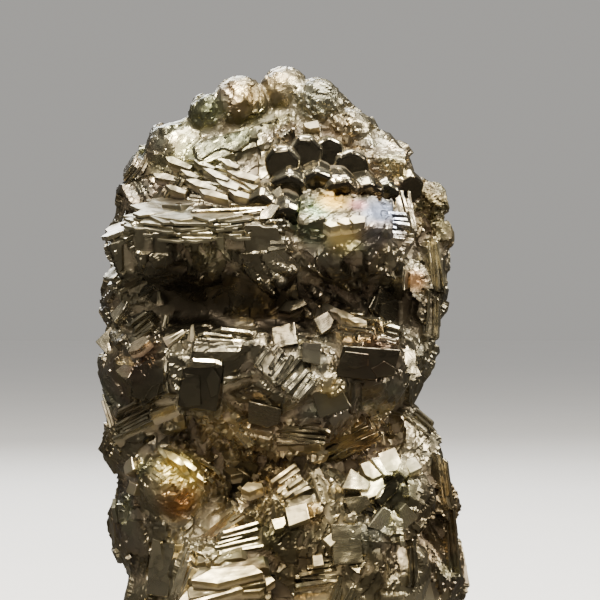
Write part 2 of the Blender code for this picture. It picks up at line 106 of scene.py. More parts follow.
# Rounded mass: each lump is x, y, z of its middle, then its three radii
upperBall = (-1.5, 1.5, 55.5, 18.3, 15.5, 18.6)
lowerBall = (2.6, 1.0, 15.5, 16.6, 15.5, 20.0)
waist = (0.5, 1.5, 38.0, 14.0, 12.5, 9.0)
mass = {
    "coarse": 0.8,
    "fine": 0.28,
    "smooth": 3,
    "lumps": [
        # top
        (-5.2, -3.5, 72.7, 3.5, 3.5, 3.5), (-8.6, -3.0, 71.4, 2.5, 2.6, 2.4),
        (-0.2, -1.5, 73.7, 3.3, 3.6, 3.4), (3.8, -2.0, 72.5, 3.7, 3.8, 3.5),
        (7.6, -3.0, 69.5, 3.2, 3.6, 3.2), (-3.0, 5.0, 72.8, 4.0, 4.0, 3.4),
        (4.0, 5.5, 71.6, 4.4, 4.2, 3.6),
        # left
        (-12.0, -2.0, 67.2, 4.6, 5.0, 4.6), (-15.0, -2.5, 62.6, 4.0, 4.6, 4.2),
        (-16.2, -3.0, 57.6, 4.0, 4.6, 4.2), (-16.8, -1.5, 50.8, 4.2, 5.5, 5.2),
        (-14.8, -4.0, 43.6, 6.2, 7.6, 7.2), (-14.6, -3.0, 35.8, 6.2, 7.6, 6.0),
        # right
        (10.9, -3.5, 66.2, 3.7, 4.0, 3.7), (14.4, -1.5, 62.6, 2.8, 3.4, 2.8),
        (15.2, 0.0, 59.8, 3.3, 4.0, 3.4), (15.4, -1.0, 56.3, 3.5, 4.4, 3.6),
        (14.4, -3.0, 51.8, 4.0, 4.8, 5.0), (13.3, -3.0, 46.3, 4.0, 4.6, 5.0),
        (11.2, -3.0, 41.9, 4.0, 4.6, 3.8),
        # brow, slab, middle, and the tier under the hollow
        (-8.8, -10.0, 57.2, 9.6, 6.8, 5.4), (7.4, -10.5, 57.8, 6.8, 6.6, 5.2),
        (-1.0, -12.0, 56.6, 5.2, 4.8, 5.4), (-9.4, -9.5, 43.6, 7.4, 7.4, 5.6),
        (0.6, -11.0, 43.0, 7.2, 6.8, 5.4), (9.0, -9.0, 44.4, 5.6, 6.8, 5.4),
        (0.2, -8.0, 38.6, 9.2, 7.4, 4.2),
        # lower ball
        (13.0, -1.5, 33.8, 4.8, 5.4, 4.8), (14.2, -2.0, 27.4, 5.5, 6.0, 5.6),
        (14.9, -1.0, 19.8, 6.0, 7.0, 6.4), (13.2, 0.0, 10.2, 6.2, 7.6, 6.4),
        (11.6, -9.0, 28.8, 4.9, 5.2, 4.9), (9.8, -10.0, 20.8, 6.0, 6.4, 6.6),
        (1.8, -9.6, 25.6, 7.6, 6.4, 7.4), (-6.8, -10.4, 19.8, 6.8, 6.4, 6.0),
        (-12.2, -7.4, 30.4, 4.6, 5.0, 4.5), (-11.6, -2.0, 26.0, 8.4, 9.0, 9.0),
        (-9.4, -3.0, 15.6, 9.4, 10.4, 10.0), (-4.0, -8.6, 8.4, 8.2, 8.0, 7.4),
        (8.4, -7.6, 8.0, 8.0, 8.0, 7.2), (-6.5, 7.0, 9.0, 8.6, 8.2, 7.6),
        (7.5, 7.6, 8.4, 8.6, 8.0, 7.4),
    ],
    # ball, directions tried, distance out as a part of the radii, lump radius
    "backLumps": [(upperBall, 30, 0.86, 4.8), (lowerBall, 18, 0.84, 5.0), (waist, 12, 0.92, 5.2)],
    "backSpread": (0.8, 1.15),
    "backStartsAt": 0.15,
}


def evenDirections(count):
    golden = math.pi * (3.0 - math.sqrt(5.0))
    for i in range(count):
        height = 1.0 - 2.0 * (i + 0.5) / count
        around = math.sqrt(1.0 - height * height)
        yield Vector((around * math.cos(golden * i), around * math.sin(golden * i), height))


def objectFrom(shape, name):
    bmesh.ops.recalc_face_normals(shape, faces=shape.faces)
    mesh = bpy.data.meshes.new(name)
    shape.to_mesh(mesh)
    shape.free()
    made = bpy.data.objects.new(name, mesh)
    scene.collection.objects.link(made)
    return made


def bakeModifiers(made):
    graph = bpy.context.evaluated_depsgraph_get()
    made.data = bpy.data.meshes.new_from_object(made.evaluated_get(graph))
    made.modifiers.clear()
    return made


def voxelRemesh(made, size, smooth):
    remesh = made.modifiers.new("flow", "REMESH")
    remesh.mode = "VOXEL"
    remesh.voxel_size = size
    soften = made.modifiers.new("soften", "SMOOTH")
    soften.iterations = smooth
    return bakeModifiers(made)


def roundedMass():
    lumps = [upperBall, lowerBall, waist, *mass["lumps"]]
    for ball, count, out, radius in mass["backLumps"]:
        middle, radii = Vector(ball[:3]), Vector(ball[3:])
        for direction in evenDirections(count):
            if direction.y >= mass["backStartsAt"]:
                place = middle + out * direction * radii
                lumps.append((*place, *[radius * rng.uniform(*mass["backSpread"]) for _ in range(3)]))
    shape = bmesh.new()
    for x, y, z, rx, ry, rz in lumps:
        stretched = shifted(x, y, z) @ Matrix.Diagonal((rx, ry, rz, 1.0))
        bmesh.ops.create_icosphere(shape, subdivisions=3, radius=1.0, matrix=stretched)
    return voxelRemesh(objectFrom(shape, "roundedMass"), mass["coarse"], mass["smooth"])


massSource = roundedMass()
massTree = BVHTree.FromPolygons(
    [v.co for v in massSource.data.vertices], [p.vertices for p in massSource.data.polygons])
print("rounded mass", len(massSource.data.polygons))


# Frames: X runs along a crystal's blades, Y across them and Z outwards.
def crystalFrame(place, outward, along):
    outward = outward.normalized()
    along = (along - outward * along.dot(outward)).normalized()
    return shifted(*place) @ Matrix((along, outward.cross(along), outward)).transposed().to_4x4()


# Yaw turns the outward face to the right, pitch turns it up, turn rolls the long direction.
def frontFrame(x, z, yaw=0, pitch=0, turn=0):
    eye = specimen["eye"]
    place = massTree.ray_cast(eye, (Vector((x, 0.0, z)) - eye).normalized())[0]
    yaw, pitch, turn = math.radians(yaw), math.radians(pitch), math.radians(turn)
    outward = Vector((math.sin(yaw) * math.cos(pitch), -math.cos(yaw) * math.cos(pitch), math.sin(pitch)))
    return crystalFrame(place, outward, Vector((math.cos(turn), 0.0, math.sin(turn))))


# The frames of a table's rows, each with the rest of its row
def framed(rows):
    for x, z, yaw, pitch, turn, *rest in rows:
        yield (frontFrame(x, z, yaw, pitch, turn), *rest)


# Moves a frame inwards until none of these corners stands too far out of the mass.
def settled(place, corners, proud):
    excess, inwards = 0.0, Vector()
    for corner in corners:
        at = place @ Vector(corner)
        near, normal, _, gap = massTree.find_nearest(at)
        if gap - proud > excess and (at - near).dot(normal) > 0.0:
            excess, inwards = gap - proud, -normal
    return Matrix.Translation(inwards * excess) @ place


# The corners of the CAD's shapes, from their deep roots up
def boxCorners(length, width, height):
    ends, sides = (-length / 2.0, length / 2.0), (-width / 2.0, width / 2.0)
    return [(x, y, z) for x in ends for y in sides for z in (-specimen["rootDepth"], height)]


def stackCorners(length, slant, blades):
    across = -sum(width for width, _ in blades) / 2.0
    outline = [(across, -specimen["rootDepth"])]
    for width, height in blades:
        outline += [(across, height), (across + width, height)]
        across += width
    outline.append((across, -specimen["rootDepth"]))
    return [(slant * y + end * length / 2.0, y, z) for y, z in outline for end in (-1.0, 1.0)]


def ringCorners(radiusX, radiusY, height, sides):
    turns = [2.0 * math.pi * i / sides for i in range(sides)]
    return [(radiusX * math.sin(turn), radiusY * math.cos(turn), height) for turn in turns]


# One thin crystal plate from a hand of corners: it lies flat, or stands along X if upright.
def addPlate(shape, corners, thickness, place, upright=False, bevel=0.06):
    face = shape.faces.new([shape.verts.new((x, y, 0.0)) for x, y in corners])
    swept = bmesh.ops.extrude_face_region(shape, geom=[face])
    risen = [v for v in swept["geom"] if isinstance(v, bmesh.types.BMVert)]
    bmesh.ops.translate(shape, verts=risen, vec=(0.0, 0.0, thickness))
    verts = [*face.verts, *risen]
    edges = list({edge for vert in verts for edge in vert.link_edges})
    if upright:
        bmesh.ops.rotate(shape, verts=verts, matrix=Matrix.Rotation(math.radians(90.0), 3, "X"))
        bmesh.ops.translate(shape, verts=verts, vec=(0.0, thickness / 2.0, 0.0))
    bmesh.ops.transform(shape, verts=verts, matrix=place)
    if bevel:
        bmesh.ops.bevel(
            shape, geom=edges, offset=bevel, offset_type="OFFSET", affect="EDGES",
            segments=1, profile=0.5, material=-1, clamp_overlap=True)


# A crystal outline with uneven corners
def plateOutline(sides, halfX, halfY, uneven=0.16):
    start = math.pi / sides
    corners = []
    for i in range(sides):
        angle = start + 2.0 * math.pi * (i + vary.uniform(-uneven, uneven)) / sides
        reach = 1.12 + vary.uniform(-0.5, 0.5) * uneven
        corners.append((halfX * reach * math.cos(angle), halfY * reach * math.sin(angle)))
    return corners


# The outline of an upright blade: a long box with cut corners at its top
def bladeOutline(length, height):
    cutA, cutB = vary.uniform(0.1, 0.45) * height, vary.uniform(0.1, 0.45) * height
    half, root = length / 2.0, specimen["bladeRoot"]
    return [(-half, -root), (half, -root), (half, height - cutA), (half - 1.2 * cutA, height),
            (1.2 * cutB - half, height), (-half, height - cutB)]


# Finished crystals wait here by piece name until they are joined.
grown = {}


def keepCrystal(pieceName, shape, place, tone, polish, paintedShadeEndTone=None):
    bmesh.ops.remove_doubles(shape, verts=shape.verts, dist=specimen["mergeWithin"])
    made = objectFrom(shape, pieceName)
    points = coordinates(made.data)
    height = points[:, 2]
    far = specimen["grainShift"]
    setAttribute(made.data, "grain", points + [vary.uniform(-far, far) for _ in range(3)], "FLOAT_VECTOR")
    # A crystal's end may take its own tone, which the barrels use as painted shade
    paintedShadeEndTone = tone if paintedShadeEndTone is None else paintedShadeEndTone
    setAttribute(made.data, "tone", np.where(height < 0.88 * height.max(), tone, paintedShadeEndTone))
    setAttribute(made.data, "polish", np.full(len(points), polish))
    # Relief rises with height above the root, so the low parts where a crystal meets the body take the hollow
    # oxide and painted shade
    setAttribute(made.data, "relief", np.clip((height + 0.6) / 1.4, 0.0, 1.0))
    made.data.transform(place)
    grown.setdefault(pieceName, []).append(made)


def joinCrystals(pieceName):
    joined = grown.pop(pieceName)
    first = joined[0]
    with bpy.context.temp_override(active_object=first, object=first, selected_editable_objects=joined):
        bpy.ops.object.join()
    first.name = pieceName
    return first


# Cores of the crystals, which flow into the body: place, length, width, height, and whether the
# body keeps clear of what stands on it. A crystal whose polish is None is a core alone.
cores = []


def addCore(place, length, width, height, clear=True):
    cores.append((place.copy(), length, width, height, clear))


# Front crystals. Each row starts with x, z as seen from the eye, then yaw, pitch and turn.
frontPlaces = []
frontProud = 2.2


def settledFront(place, corners):
    place = settled(place, corners, frontProud)
    frontPlaces.append(place.translation.copy())
    return place


stacks = {
    "thin": 0.45,  # the blades are split into leaves of about this thickness
    "whole": 1.5,  # wider blades aren't split
    "gap": 0.05,
    "leafLengths": (0.55, 1.0),
    "leafHeights": (-0.18, 0.06),
    # length, slant, (width, height) of each blade from the lowest up, tone, polish
    "rows": [
        (-11.2, 65.6, -22, 46, -27, 4.2, 0.5, [(0.9, 0.3), (0.8, 0.9), (0.8, 1.5)], 0.8, 0.5),
        (-9.0, 62.9, -10, 42, -26, 4.8, 0.5, [(0.9, 0.2), (0.9, 0.8), (0.8, 1.4)], 0.8, 0.5),
        (-5.4, 63.0, 2, 40, -37, 5.2, 0.4, [(0.8, 0.2), (0.7, 0.8), (0.8, 1.4), (0.7, 2.0)], 0.85, 0.5),
        (-1.3, 58.6, 18, 38, 14, 3.0, 0.3, [(0.6, 0.5), (0.6, 1.1), (0.7, 1.7)], 0.6, 0.7),
        (7.4, 61.3, 8, 52, -7, 10.4, 0.2, [(1.0, 0.2), (1.2, 0.9), (3.6, 1.5)], 0.75, None),
        (12.4, 59.4, 26, 34, 8, 3.8, 0.3, [(0.9, 0.4), (0.9, 1.0), (0.9, 1.6)], 0.7, 0.5),
        (8.4, 47.3, -8, 52, -25, 4.6, 0.5, [(0.7, 0.6), (0.7, 1.1), (0.8, 1.7)], 0.95, 0.9),
        (11.9, 46.9, 12, 44, -20, 2.8, 0.2, [(0.8, 0.5), (0.9, 1.2)], 0.7, 0.8),
        (-13.9, 39.2, -26, 44, 17, 3.8, 0.5, [(1.0, 0.5), (1.0, 1.1), (0.9, 1.8)], 0.6, 0.6),
        (-17.0, 37.3, -36, 36, 14, 6.2, 0.3, [(0.8, 0.4), (0.8, 1.1), (0.8, 1.8)], 0.5, 0.6),
        (-16.4, 47.6, -34, 30, 32, 4.6, 0.3, [(0.9, 0.6), (0.9, 1.4)], 0.5, 0.5),
        (-7.0, 19.6, -12, 50, 11, 9.4, 0.3, [(1.6, 0.4), (1.8, 1.1), (2.4, 1.8)], 0.5, 0.3),
        (-5.2, 23.2, -4, 36, 16, 6.0, 0.4, [(0.7, 0.5), (0.7, 1.1), (0.8, 1.8)], 0.6, 0.4),
        (-11.4, 19.4, -30, 14, 74, 5.6, 0.2, [(0.8, 1.7), (0.8, 1.0), (0.8, 0.4)], 0.9, 0.6),
        (-9.0, 31.2, -14, 34, -44, 4.4, 0.4, [(0.9, 0.5), (0.9, 1.2), (0.9, 1.9)], 0.95, 0.7),
        (17.2, 55.0, 56, 12, 82, 6.4, 0.2, [(0.8, 0.5), (0.9, 1.1), (0.9, 0.4)], 0.7, 0.5),
        (16.4, 49.6, 54, 4, 76, 6.0, 0.2, [(0.9, 1.1), (0.9, 0.5), (0.9, 0.9)], 0.7, 0.5),
        (18.9, 23.4, 60, 8, 80, 8.4, 0.2, [(0.9, 0.5), (1.0, 1.2), (0.9, 0.5)], 0.6, 0.6),
        (17.8, 30.4, 58, 14, 72, 6.4, 0.2, [(0.9, 1.1), (0.9, 0.5)], 0.6, 0.6),
        (15.2, 37.0, 46, 40, -30, 4.0, 0.2, [(0.9, 0.5), (0.9, 1.1)], 0.6, 0.5),
        (4.0, 20.0, 6, 28, 8, 5.4, 0.3, [(1.1, 0.4), (1.1, 1.0), (1.0, 1.6)], 0.45, 0.7),
        (1.6, 35.6, 0, 30, -4, 6.4, 0.4, [(0.8, 0.4), (0.8, 0.9), (0.8, 1.4)], 0.35, 0.5),
    ],
}


def growStack(pieceName, place, length, slant, blades, tone, polish):
    width = sum(w for w, _ in blades)
    if polish is None:
        addCore(place, length * 0.95, width * 0.95, max(h for _, h in blades) * 0.8, clear=False)
        return
    addCore(place, length * 0.8, width, min(h for _, h in blades))
    shape = bmesh.new()
    across, lower = -width / 2.0, blades[0][1] - 0.3
    for w, h in blades:
        leaves = 1 if w > stacks["whole"] else max(1, round(w / stacks["thin"]))
        for i in range(leaves):
            middle = across + w * (i + 0.5) / leaves
            leafLength = length * vary.uniform(*stacks["leafLengths"])
            leafHeight = lower + (h - lower) * (i + 1) / leaves + vary.uniform(*stacks["leafHeights"])
            at = shifted(slant * middle + (length - leafLength) * vary.uniform(-0.5, 0.5), middle)
            at = at @ rotated(vary.uniform(-6.0, 6.0), "Z")
            thickness = w / leaves - stacks["gap"] * vary.uniform(0.3, 1.0)
            outline = bladeOutline(leafLength, leafHeight)
            addPlate(shape, outline, thickness, at, upright=True, bevel=0.04)
        across, lower = across + w, h
    keepCrystal(pieceName, shape, place, tone, polish)


fans = {
    "shorter": 0.3,
    "lower": 0.2,
    "leaves": 2,
    "wider": 1.4,
    "uneven": (0.55, 1.0),
    "tones": (0.3, 1.2),
    # blade length, step, width, height, count, degrees each next blade is swung, tone, polish
    "rows": [
        (0.0, 42.9, 4, 12, 52, 4.6, 1.35, 0.8, 1.5, 5, 1.0, 0.85, 0.7),
        (-2.2, 55.0, -4, 6, -28, 6.0, 1.3, 0.8, 1.3, 4, 9.0, 0.4, None),
        (2.4, 52.6, 6, -10, -36, 5.0, 1.2, 0.7, 1.2, 4, 8.0, 0.3, None),
        (-16.6, 53.2, -40, 6, 18, 4.6, 1.2, 0.7, 1.2, 3, 6.0, 0.5, 0.5),
        (1.0, 29.4, 2, 24, 34, 4.0, 1.2, 0.7, 1.3, 4, 7.0, 0.6, 0.4),
        (7.6, 16.0, 10, 4, 62, 5.6, 1.3, 0.8, 1.4, 4, 6.0, 0.5, 0.5),
        (-2.6, 12.6, -6, -4, 24, 6.0, 1.4, 0.8, 1.4, 4, 6.0, 0.6, 0.5),
    ],
}


def growFan(middle, length, step, width, height, count, swing, tone, polish):
    leaves, wide = fans["leaves"], width * fans["wider"]
    for i in range(count):
        offset = i - (count - 1) / 2.0
        place = middle @ shifted(y=step * offset) @ rotated(swing * offset, "Z")
        reach, rise = length - fans["shorter"] * abs(offset), height - fans["lower"] * abs(offset)
        place = settledFront(place, boxCorners(reach, width, rise))
        if polish is None:
            addCore(place, reach, width, rise * 0.5, clear=False)
            continue
        addCore(place, reach * 0.85, step, rise * 0.35)
        shape = bmesh.new()
        for leaf in range(leaves):
            part = vary.uniform(*fans["uneven"])
            at = shifted(reach * (1.0 - part) * vary.uniform(-0.5, 0.5), wide * ((leaf + 0.5) / leaves - 0.5))
            at = at @ rotated(vary.uniform(-8.0, 8.0), "Z")
            outline = bladeOutline(reach * part, rise - vary.uniform(0.0, 1.0))
            addPlate(shape, outline, wide / leaves - 0.02, at, upright=True)
        keepCrystal("frontCrystals", shape, place, min(1.0, tone * vary.uniform(*fans["tones"])), polish)


shelves = {
    "largeFrom": 5.0,  # a shelf with a larger radius has more plates and a broken core
    # each layer is broken into plates: their count and sizes on a small and a large shelf
    "coreCuts": 8,
    "parts": (5, 11),
    "partSizes": ((0.3, 0.52), (0.15, 0.32)),
    # two radii, rise, draw in, layers, sides, lift, tone, polish
    "rows": [
        (-8.8, 60.0, -6, 70, 2, 9.4, 6.2, 0.55, 0.45, 4, 12, 0.2, 0.65, 0.4),
        (-6.8, 46.2, 2, 66, 0, 4.4, 4.0, 0.60, 0.40, 3, 12, 0.6, 0.8, None),
        (-18.4, 58.4, -46, 62, -8, 3.4, 3.2, 0.80, 0.30, 3, 10, -0.6, 0.6, 0.4),
        (-17.6, 54.6, -46, 50, 22, 3.4, 3.0, 0.80, 0.30, 2, 10, -0.4, 0.5, 0.4),
        (14.9, 48.2, 30, 2, 86, 3.6, 1.8, 0.70, 0.50, 2, 9, 0.4, 0.25, None),
        (-15.4, 41.6, -32, 6, 10, 2.9, 2.5, 0.60, 0.60, 2, 6, 0.6, 0.25, 0.8),
        (-4.6, 69.0, -8, 40, 25, 6.4, 1.8, 0.80, 0.60, 2, 10, 0.3, 0.6, None),
        (9.9, 24.4, 10, 26, -4, 3.2, 2.0, 0.60, 0.50, 2, 6, 0.6, 0.55, None),
    ],
}


def growShelf(place, radiusX, radiusY, rise, drawIn, layers, sides, lift, tone, polish):
    corners = ringCorners(radiusX, radiusY, -specimen["rootDepth"], sides)
    for layer in range(layers):
        inner = drawIn * layer
        corners += ringCorners(radiusX - inner, radiusY - inner, rise * (layer + 1), sides)
    place = settledFront(place @ shifted(z=lift), corners)
    if polish is None:
        addCore(place, radiusX * 1.8, radiusY * 1.8, rise * layers * 0.8, clear=False)
        return
    large = radiusX > shelves["largeFrom"]
    cuts = shelves["coreCuts"] if large else 1
    for i in range(cuts):
        at = place @ shifted(((i + 0.5) / cuts - 0.5) * radiusX * 1.7, vary.uniform(-0.6, 0.6) * large)
        height = rise * (layers - 0.6) * (vary.uniform(0.5, 1.0) if large else 1.0)
        addCore(at, radiusX * 1.7 / cuts, radiusY * (vary.uniform(1.3, 1.7) if large else 1.7), height)
    shape = bmesh.new()
    count, sizes = shelves["parts"][large], shelves["partSizes"][large]
    for layer in range(layers * 2):
        inner = drawIn * layer / 2.0
        for i in range(count):
            turn = 2.0 * math.pi * (i + vary.uniform(-0.35, 0.35)) / count
            size = vary.uniform(*sizes)
            outline = plateOutline(5, radiusX * size, radiusY * size, uneven=0.4)
            x, y = math.cos(turn) * (radiusX - inner), math.sin(turn) * (radiusY - inner)
            at = shifted(x * (1.0 - size), y * (1.0 - size), rise * layer / 2.0 + vary.uniform(-0.06, 0.06))
            at = at @ rotated(vary.uniform(-3.5, 3.5), vary.choice("XY"))
            addPlate(shape, outline, rise * 0.62, at, bevel=0.05)
    keepCrystal("frontCrystals", shape, place, tone, polish)


barrels = {
    # radius, height, tone
    "rows": [
        (-0.2, 67.2, -6, 22, 30, 1.6, 2.2, 0.7), (2.3, 68.3, 2, 26, 30, 1.5, 2.0, 0.75),
        (4.8, 68.2, 8, 26, 0, 1.5, 2.0, 0.7), (7.2, 66.8, 16, 22, 0, 1.7, 2.4, 0.7),
        (0.6, 64.6, -4, 6, 0, 1.8, 2.4, 0.35), (3.5, 65.2, 4, 4, 0, 1.7, 2.4, 0.4),
        (6.0, 64.4, 10, -2, 30, 1.8, 2.6, 0.35), (8.8, 64.2, 18, -2, 30, 1.6, 2.6, 0.3),
        (-2.4, 62.6, -8, 2, 0, 1.5, 2.2, 0.4), (0.1, 61.6, 0, -6, 0, 1.4, 2.0, 0.25),
        (2.4, 62.2, 4, -8, 0, 1.3, 2.0, 0.25), (11.0, 64.3, 14, -4, 30, 1.5, 2.4, 0.3),
        (13.4, 64.6, 26, -2, 30, 1.6, 2.6, 0.35),
    ],
    "shoulder": 0.6,
    "end": 0.62,
    "nod": 32.0,  # degrees turned down, so that the ends are shaded and the sides lit; the ends' tone is painted darker as well
    "blunter": 0.84,  # how large the end is in the looks
    "swell": 1.42,  # wider than the CAD's, so that neighbours touch
    "uneven": 0.09,
    "rounding": 0.24,
    "polish": 0.85,
}


def barrelCorners(radius, height):
    corners = ringCorners(radius, radius, height * barrels["shoulder"], 6)
    return corners + ringCorners(radius * barrels["end"], radius * barrels["end"], height, 6)


def growBarrel(place, radius, height, tone):
    place = settledFront(place, barrelCorners(radius, height))
    addCore(place, radius * 1.6, radius * 1.6, height * 0.3)
    sideways = place.to_3x3().inverted() @ Vector((1.0, 0.0, 0.0))
    place = place @ rotated(barrels["nod"], sideways)
    shape = bmesh.new()
    wide, root = radius * barrels["swell"], specimen["bladeRoot"]
    bmesh.ops.create_cone(
        shape, cap_ends=True, segments=7, radius1=wide * 0.9, radius2=wide, depth=2.0 * root,
        matrix=shifted(z=height * barrels["shoulder"] - root))
    top = max(shape.faces, key=lambda face: face.calc_center_median().z)
    top = bmesh.ops.extrude_discrete_faces(shape, faces=[top])["faces"][0]
    end = barrels["blunter"]
    bmesh.ops.scale(shape, verts=top.verts, vec=(end, end, 1.0))
    bmesh.ops.translate(shape, verts=top.verts, vec=(0.0, 0.0, height * (1.0 - barrels["shoulder"])))
    for vert in shape.verts:
        vert.co += Vector([vary.uniform(-1.0, 1.0) for _ in range(3)]) * radius * barrels["uneven"]
    bmesh.ops.bevel(
        shape, geom=shape.edges[:], offset=radius * barrels["rounding"], offset_type="OFFSET", affect="EDGES",
        segments=3, profile=0.5, material=-1, clamp_overlap=True)
    # Painted light and shade: the sides' tone is raised and the ends are painted dark at a fifth of the tone
    keepCrystal("frontCrystals", shape, place, tone + 0.25, barrels["polish"], paintedShadeEndTone=tone * 0.2)


blocks = {
    # width, depth, height, tone, polish
    "rows": [
        (12.0, 67.4, 10, 62, -10, 4.6, 3.8, 1.6, 0.9, None),
        (0.0, 46.8, -6, 14, 8, 2.5, 2.6, 1.8, 0.5, 0.8),
        (4.3, 48.0, 6, 20, 36, 1.9, 1.8, 1.9, 0.9, 0.5),
        (2.7, 44.9, 10, 6, -6, 2.1, 2.2, 1.6, 0.6, 0.6),
        (9.6, 44.3, 4, -6, -4, 6.4, 3.4, 1.5, 0.12, 0.8),
        (-9.2, 40.5, -10, -8, -3, 4.4, 5.0, 1.6, 0.05, 0.7),
        (7.0, 23.0, 2, 6, 8, 3.2, 4.6, 1.5, 0.5, 0.5),
        (1.6, 26.2, -6, 18, 14, 2.2, 2.0, 1.6, 0.75, 0.4),
        (-17.0, 31.8, -46, 16, 12, 1.5, 1.5, 1.4, 0.9, 0.4),
        (-16.6, 29.4, -46, 10, -16, 1.5, 1.3, 1.4, 0.9, 0.4),
        (5.2, 39.8, 6, -4, 20, 3.4, 3.0, 1.5, 0.3, 0.4),
        (-2.4, 38.2, -4, -10, -10, 3.6, 2.6, 1.4, 0.1, 0.5),
    ],
    "uneven": (0.42, 0.58),
    "cutShare": 0.5,  # of blocks that have a cut corner
    "terraceRise": 0.2,
    "terraceSizes": (0.5, 0.85),
}


def growBlock(pieceName, place, width, depth, height, tone, polish, terraced=False):
    if polish is None:
        addCore(place, width, depth, height * 0.85, clear=False)
        return
    addCore(place, width * 0.9, depth * 0.9, height * 0.5)
    shape = bmesh.new()
    outline = [
        Vector((x * width * vary.uniform(*blocks["uneven"]), y * depth * vary.uniform(*blocks["uneven"])))
        for x, y in ((-1, -1), (1, -1), (1, 1), (-1, 1))]
    if vary.random() < blocks["cutShare"]:
        i = vary.randrange(4)
        corner, before, after = outline[i], outline[i - 1], outline[(i + 1) % 4]
        outline[i:i + 1] = [corner.lerp(before, 0.35), corner.lerp(after, 0.3)]
    rise, root = blocks["terraceRise"], specimen["blockRoot"]
    top = height - rise if terraced else height
    addPlate(shape, outline, top + root, shifted(z=-root), bevel=0.08)
    if terraced:
        size = vary.uniform(*blocks["terraceSizes"])
        aside = 0.5 - 0.4 * size
        tilt = rotated(vary.uniform(-8.0, 8.0), "X") @ rotated(vary.uniform(-8.0, 8.0), "Y")
        x, y = aside * width * vary.choice((-1, 1)), aside * depth * vary.choice((-1, 1))
        upper = plateOutline(5, width * size * 0.5, depth * size * 0.5, uneven=0.3)
        addPlate(shape, upper, rise + 0.3, shifted(x, y, top - 0.3) @ tilt, bevel=0.05)
    keepCrystal(pieceName, shape, place, tone, polish)


# Rounded knobs flow into the body: x, z, radius.
knobs = {
    "proud": 1.3,
    "rows": [
        (-5.2, 73.8, 3.1), (-8.8, 72.6, 2.4), (-0.2, 75.2, 2.9), (3.8, 73.8, 2.9), (7.5, 70.4, 2.7),
        (16.6, 62.6, 2.0), (17.6, 58.6, 1.8), (5.2, 41.4, 1.7), (-13.2, 30.0, 3.9), (9.0, 68.4, 1.6),
    ],
}


def knobFrame(x, z, radius):
    return frontFrame(x, z) @ shifted(z=knobs["proud"] - radius)


rosette = {
    "at": (11.5, 29.2, 26.0, 14.0, 0.0),
    "ring": 2.8,
    "count": 7,
    "block": (1.9, 1.7, 1.9),
    "uneven": (0.8, 1.0),
    "tilt": 24.0,
    "sunk": 0.5,
    "middle": (1.2, 1.6),
    "lowered": 0.3,
    # tiles from the right anticlockwise: their tones, half depths inside and outside, half width
    "tones": (1.1, 1.2, 1.2, 1.2, 0.3, 0.8, 0.6),
    "tile": (0.6, 1.5, 1.45),
    "crystal": (2.3, 0.68, 48.0),  # half length, half width and turn of the dark crystal
}


def growRosette():
    middle = frontFrame(*rosette["at"])
    addCore(middle, rosette["ring"] * 1.5, rosette["ring"] * 1.5, -0.2)
    inside, outside, half = rosette["tile"]
    height, root = rosette["block"][2], specimen["blockRoot"]
    for i in range(rosette["count"]):
        around = Matrix.Rotation(2.0 * math.pi * i / rosette["count"], 4, "Z")
        out = shifted(rosette["ring"], 0.0, -rosette["sunk"]) @ rotated(rosette["tilt"], "Y")
        place = settledFront(middle @ around @ out, boxCorners(*rosette["block"]))
        outline = []
        for end, side in ((-1, -1), (1, -1), (1, 1), (-1, 1)):
            x = end * half * vary.uniform(*rosette["uneven"])
            outline.append((x, side * (inside if end < 0 else outside) * vary.uniform(*rosette["uneven"])))
        shape = bmesh.new()
        thickness = height + root + vary.uniform(-0.15, 0.15)
        addPlate(shape, outline, thickness, shifted(z=-root - rosette["lowered"]), bevel=0.1)
        keepCrystal("frontCrystals", shape, place, rosette["tones"][i], 0.5)
    place = settledFront(middle, barrelCorners(*rosette["middle"]))
    length, width, turn = rosette["crystal"]
    shape = bmesh.new()
    outline = plateOutline(6, length, width, uneven=0.1)
    addPlate(shape, outline, rosette["middle"][1] + 1.6, shifted(z=-root) @ rotated(turn, "Z"), bevel=0.16)
    keepCrystal("frontCrystals", shape, place, 0.1, 0.95)


def growFront():
    for place, length, slant, blades, tone, polish in framed(stacks["rows"]):
        place = settledFront(place, stackCorners(length, slant, blades))
        growStack("frontCrystals", place, length, slant, blades, tone, polish)
    for grow, rows in ((growFan, fans["rows"]), (growShelf, shelves["rows"]), (growBarrel, barrels["rows"])):
        for row in framed(rows):
            grow(*row)
    for place, width, depth, height, tone, polish in framed(blocks["rows"]):
        place = settledFront(place, boxCorners(width, depth, height))
        growBlock("frontCrystals", place, width, depth, height, tone, polish)
    for knob in knobs["rows"]:
        frontPlaces.append(knobFrame(*knob).translation)
    growRosette()
